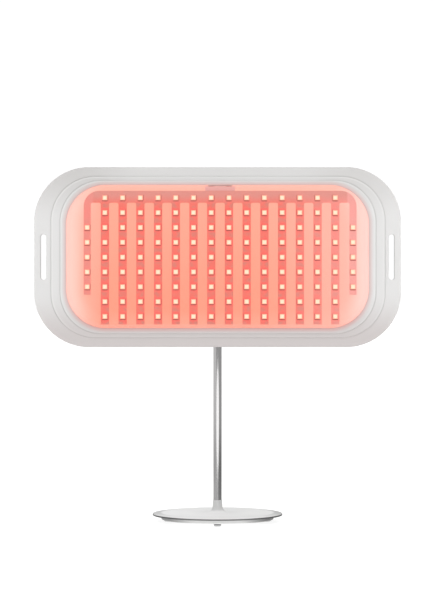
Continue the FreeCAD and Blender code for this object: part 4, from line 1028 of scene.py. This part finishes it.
def circuit_finish():
    """Green varnish with tracks at right angles and tinned pads."""
    material, place = start("circuit_board")
    x, _, z = axes(place)
    cloud = noise(place, 120.0, 2.0)
    columns, rows = x / 0.00127 + 200, z / 0.00127 + 200
    along, up = columns.maths("FRACT", columns), rows.maths("FRACT", rows)
    tracks = abs(along - 0.5).ramp(0.3, 0.36) * cloud.ramp(0.5, 0.52)
    tracks = tracks.at_least(abs(up - 0.5).ramp(0.3, 0.36) * (1 - cloud.ramp(0.46, 0.48)))
    across, over = along - 0.5, up - 0.5
    pads = 1 - (across * across + over * over).root().ramp(0.2, 0.24)
    pads = pads * noise(place, 300.0, 1.0).ramp(0.56, 0.58)
    base = (tracks * 0.7).blend((0.012, 0.09, 0.035), (0.03, 0.2, 0.08))
    base = pads.blend(base, (0.62, 0.62, 0.6))
    return close(material, base_color=base, metallic=pads, roughness=cloud * 0.1 + 0.28,
                 normal=(tracks * 0.00002 + pads * 0.00003).bump(0.5, 1.0))


wear("indicator_lenses", lit_plastic("lens_plastic", (0.35, 0.8, 0.5)))
wear("control_board", circuit_finish())
for node_name, slot_name, tint in (
    ("board_screws", "board_screw_steel", (0.62, 0.62, 0.63)),
    ("hinge_pin", "pin_steel", (0.6, 0.6, 0.61)),
    ("hinge_nut", "nut_steel", (0.6, 0.6, 0.61)),
    ("head_grub_screw", "grub_steel", (0.1, 0.1, 0.105)),
    ("post_spigot", "spigot_steel", (0.64, 0.64, 0.65)),
    ("post_plug", "plug_brass", (0.7, 0.5, 0.2)),
    ("base_weight", "weight_steel", (0.3, 0.3, 0.31)),
    ("base_washer", "base_washer_steel", (0.6, 0.6, 0.61)),
    ("base_screw", "base_screw_steel", (0.6, 0.6, 0.61)),
    ("usb_c_socket", "socket_steel", (0.64, 0.64, 0.65)),
    ("pod_clamp", "clamp_steel", (0.55, 0.55, 0.56)),
):
    wear(node_name, turned_steel(slot_name, tint))
wear("back_sheet", matte_plastic("back_silicone", (0.6, 0.597, 0.59), 0.55))
print("finished the nodes that stay")

# %% [markdown]
# ## Screws with sockets
# The housing, the dock and the pan are held by small button-head screws. Each head is turned with a
# soft edge, and a hexagon is cut into it for the key. The screws are turned standing up and are
# then laid on their backs or turned over, because the lathe helper only works upright.


# %% Screws
SCREW_RADIUS = 2.8
SHANK_RADIUS = 1.5
KEY_RADIUS = 1.15


def make_screws(node_name, body, depth, turn):
    """Replace a node's four screws. Turn carries the upright screws to where they point."""
    low, high = (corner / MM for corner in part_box(node_name))
    facing_back = abs(sin(turn)) > 0.5
    face = high.y if facing_back else -low.z
    tip = low.y if facing_back else -high.z
    radius, shank, head = SCREW_RADIUS, SHANK_RADIUS, depth * 1.6
    rows = (-low.z, -high.z) if facing_back else (-low.y, -high.y)
    middle = (rows[0] + rows[1]) / 2
    reach = abs(rows[0] - rows[1]) / 2 - radius
    points = [(0, face), (radius - 0.9, face), (radius, face - head * 0.45), (radius, face - head),
              (shank, face - head), (shank, tip + 0.4), (shank - 0.4, tip), (0, tip)]
    bm, keys = bmesh.new(), bmesh.new()
    for x in (low.x + radius, high.x - radius):
        for y in (middle - reach, middle + reach):
            turned(bm, points, [(2, 0.25)], steps=24, centre=(x, y), segments=3)
            key = bmesh.ops.create_cone(keys, cap_ends=True, segments=6, radius1=KEY_RADIUS,
                                        radius2=KEY_RADIUS, depth=depth * 2)["verts"]
            bmesh.ops.translate(keys, verts=key, vec=(x, y, face))
    bmesh.ops.scale(keys, verts=keys.verts, vec=(MM, MM, MM))
    lay = Matrix.Rotation(turn, 3, "X")
    for upright in (bm, keys):
        bmesh.ops.rotate(upright, verts=upright.verts, cent=(0, 0, 0), matrix=lay)
    key_mesh = bpy.data.meshes.new("keys")
    keys.to_mesh(key_mesh)
    keys.free()
    cutter = bpy.data.objects.new("keys", key_mesh)
    bpy.context.collection.objects.link(cutter)
    slot_name = node_name[:-1] + "_steel"
    piece = make_piece("socket_" + node_name, bm, body, turned_steel(slot_name), [node_name])
    cut(piece, cutter)
    piece.data.set_sharp_from_angle(angle=radians(35))
    return piece


screw_sets = [
    make_screws("pod_screws", "panel", 0.9, -pi / 2),
    make_screws("dock_screws", "panel", 0.9, -pi / 2),
    make_screws("pan_screws", "stand", 0.5, pi),
]
print("screws:", [piece.name for piece in screw_sets])

# %% [markdown]
# ## The push button
# A fingertip finds the button by its shallow dish and raised ring. It is turned too: the dish, the
# ring, the cap that slides in the housing, the flange that keeps it in, and the stem.

# %% Button
button_low, button_high = (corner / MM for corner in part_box("power_button"))
CASE_INSIDE = -17.4
CAP_RADIUS = 6.0
FLANGE_RADIUS = 7.4
STEM_RADIUS = 1.5


def make_button():
    bm = bmesh.new()
    face = button_high.y
    flange = CASE_INSIDE - 0.1
    points = [(0, face - 0.45), (3.6, face - 0.3), (4.5, face), (5.4, face),
              (CAP_RADIUS, face - 0.6), (CAP_RADIUS, flange), (FLANGE_RADIUS, flange),
              (FLANGE_RADIUS, flange - 0.6), (STEM_RADIUS, flange - 0.6),
              (STEM_RADIUS, button_low.y), (0, button_low.y)]
    centre = ((button_low.x + button_high.x) / 2, -(button_low.z + button_high.z) / 2)
    turned(bm, points, [(1, 0.6), (2, 0.3), (4, 0.3)], steps=64, centre=centre, segments=4)
    bmesh.ops.rotate(bm, verts=bm.verts, cent=(0, 0, 0), matrix=Matrix.Rotation(-pi / 2, 3, "X"))
    finish = matte_plastic("button_plastic", (0.80, 0.795, 0.79), 0.4)
    make_piece("dished_button", bm, "button", finish, ["power_button"], 30)


make_button()

# %% [markdown]
# ## Floor and light
# The lamp stands on a white light table, which keeps the shadow under the base faint. The
# surround is seen as plain white, but it lights the lamp less from the front and from the right,
# which gives the polished post its dark side. Two boxes beside the panel brighten its ends, a large
# one fills from above, and a low oval one in front draws the long bright line on the post.

# %% Floor
floor_bm = bmesh.new()
bmesh.ops.create_grid(floor_bm, x_segments=2, y_segments=2, size=40.0)
floor_mesh = bpy.data.meshes.new("floor")
floor_bm.to_mesh(floor_mesh)
floor_bm.free()
floor = bpy.data.objects.new("floor", floor_mesh)
bpy.context.collection.objects.link(floor)
floor_finish, floor_place = start("floor_paper")
close(floor_finish, base_color=noise(floor_place, 3.0).blend(even_grey(0.36), even_grey(0.38)),
      roughness=0.9, emission_color=even_grey(1.0), emission_strength=0.74)
floor_mesh.materials.append(floor_finish)

# %% [markdown]
# Polished metal is only as dark as what it reflects. A photographer stands grey cards round it,
# outside the picture. These are seen by reflections alone, so they hide nothing in any view.

# %% Cards for the metal
def make_card(name, bm, greys, along, span):
    """A stage card that glows from one grey to another along an axis, and is seen by gloss only."""
    mesh = bpy.data.meshes.new(name)
    bm.to_mesh(mesh)
    bm.free()
    card = bpy.data.objects.new(name, mesh)
    bpy.context.collection.objects.link(card)
    finish, coordinates = start(name)
    glow = axes(coordinates)[along].ramp(*span).blend(*(even_grey(grey) for grey in greys))
    close(finish, base_color=even_grey(0.0), roughness=1.0, emission_color=glow,
          emission_strength=1.0)
    mesh.materials.append(finish)
    card.visible_camera = False
    card.visible_diffuse = False
    card.visible_shadow = False
    card.visible_transmission = False


def standing(place, width, height, turn):
    """A standing rectangle, facing the lamp."""
    bm = bmesh.new()
    verts = bmesh.ops.create_grid(bm, x_segments=1, y_segments=1, size=0.5)["verts"]
    bmesh.ops.scale(bm, verts=verts, vec=(width, height, 1))
    stand_up = Matrix.Rotation(radians(turn), 3, "Z") @ Matrix.Rotation(radians(90), 3, "X")
    bmesh.ops.rotate(bm, verts=verts, cent=(0, 0, 0), matrix=stand_up)
    bmesh.ops.translate(bm, verts=verts, vec=place)
    return bm


def flat(place, width, depth):
    """A rectangle lying on the floor."""
    bm = bmesh.new()
    verts = bmesh.ops.create_grid(bm, x_segments=1, y_segments=1, size=0.5)["verts"]
    bmesh.ops.scale(bm, verts=verts, vec=(width, depth, 1))
    bmesh.ops.translate(bm, verts=verts, vec=place)
    return bm


def floor_ring(inner, outer):
    """A flat ring round the base."""
    bm = bmesh.new()
    bmesh.ops.create_circle(bm, cap_ends=False, radius=inner, segments=48)
    made = bmesh.ops.extrude_edge_only(bm, edges=list(bm.edges))["geom"]
    verts = [item for item in made if isinstance(item, bmesh.types.BMVert)]
    bmesh.ops.scale(bm, verts=verts, vec=(outer / inner, outer / inner, 1))
    bmesh.ops.translate(bm, verts=bm.verts, vec=(0, 0, 0.004))
    return bm


ALONG_X, ALONG_Y, ALONG_Z = range(3)
# Each card has a shape, two greys, and the axis and span over which the first turns to the second.
make_card("low_card", floor_ring(0.08, 1.2), (0.85, 0.34), ALONG_X, (-0.25, 0.25))
make_card("front_card", standing((0, -0.62, 0.3), 1.2, 0.6, 0), (0.6, 0.48), ALONG_Z, (0.13, 0.2))
make_card("left_card", standing((-0.45, -0.1, 0.3), 1.1, 0.6, 90), (0.68, 1.08), ALONG_Z,
          (0.015, 0.11))
make_card("right_card", standing((0.45, -0.1, 0.3), 1.1, 0.6, 90), (0.28, 0.62), ALONG_Z,
          (0.02, 0.09))
make_card("back_card", standing((0, 0.5, 0.3), 0.9, 0.6, 0), (0.62, 0.25), ALONG_X, (-0.1, 0.3))
make_card("strip_card", flat((0, -0.205, 0.006), 0.1, 0.17), (1.25, 0.8), ALONG_Y, (-0.29, -0.12))
print("cards stand")

# %% Surround
world = bpy.data.worlds.new("studio")
bpy.context.scene.world = world
world.use_nodes = True
world_place = Wire(world.node_tree.nodes.new("ShaderNodeTexCoord").outputs["Generated"])
world_x, world_y, world_z = axes(world_place)
low = 1 - world_z.ramp(0.3, 0.6)
surround = low.blend(even_grey(1.15), even_grey(1.03))
surround = (world_x.ramp(0.14, 0.35) * low).blend(surround, even_grey(0.3))
surround = ((0 - world_x).ramp(0.14, 0.5) * low).blend(surround, even_grey(0.8))
surround = ((0 - world_y).ramp(0.2, 0.8) * low).blend(surround, even_grey(0.22))
seen = world_place.node("ShaderNodeLightPath")
backdrop = seen.blend(surround, even_grey(1.03))
join(world.node_tree, backdrop, world.node_tree.nodes["Background"].inputs["Color"])
print("surround ready")

# %% Lamps
def soft_light(name, place, size, power, aim, shape="RECTANGLE"):
    data = bpy.data.lights.new(name, "AREA")
    data.shape = shape
    data.size, data.size_y = size
    data.energy = power
    light = bpy.data.objects.new(name, data)
    light.location = place
    light.rotation_euler = (Vector(aim) - Vector(place)).to_track_quat("-Z", "Y").to_euler()
    light.visible_camera = False
    bpy.context.collection.objects.link(light)
    return light


post_line = soft_light("post_line", (0.03, -0.3, 0.092), (0.46, 0.126), 0.225, (0.02, 0, 0.092),
                       "ELLIPSE")
# The line is for the metal alone, so it lights nothing else.
post_line.visible_diffuse = False
boxes = [
    soft_light("left_box", (-0.55, -0.3, 0.28), (0.22, 0.22), 0.55, (-0.17, 0, 0.277)),
    soft_light("right_box", (0.55, -0.3, 0.28), (0.22, 0.22), 0.75, (0.17, 0, 0.277)),
    soft_light("top_box", (0.0, -0.8, 1.1), (0.9, 0.6), 3.0, (0, 0, 0.3)),
]
for box in boxes:
    # Seen in the post, each box would draw a streak of its own.
    box.visible_glossy = False
print("lights:", [item.name for item in bpy.data.lights])
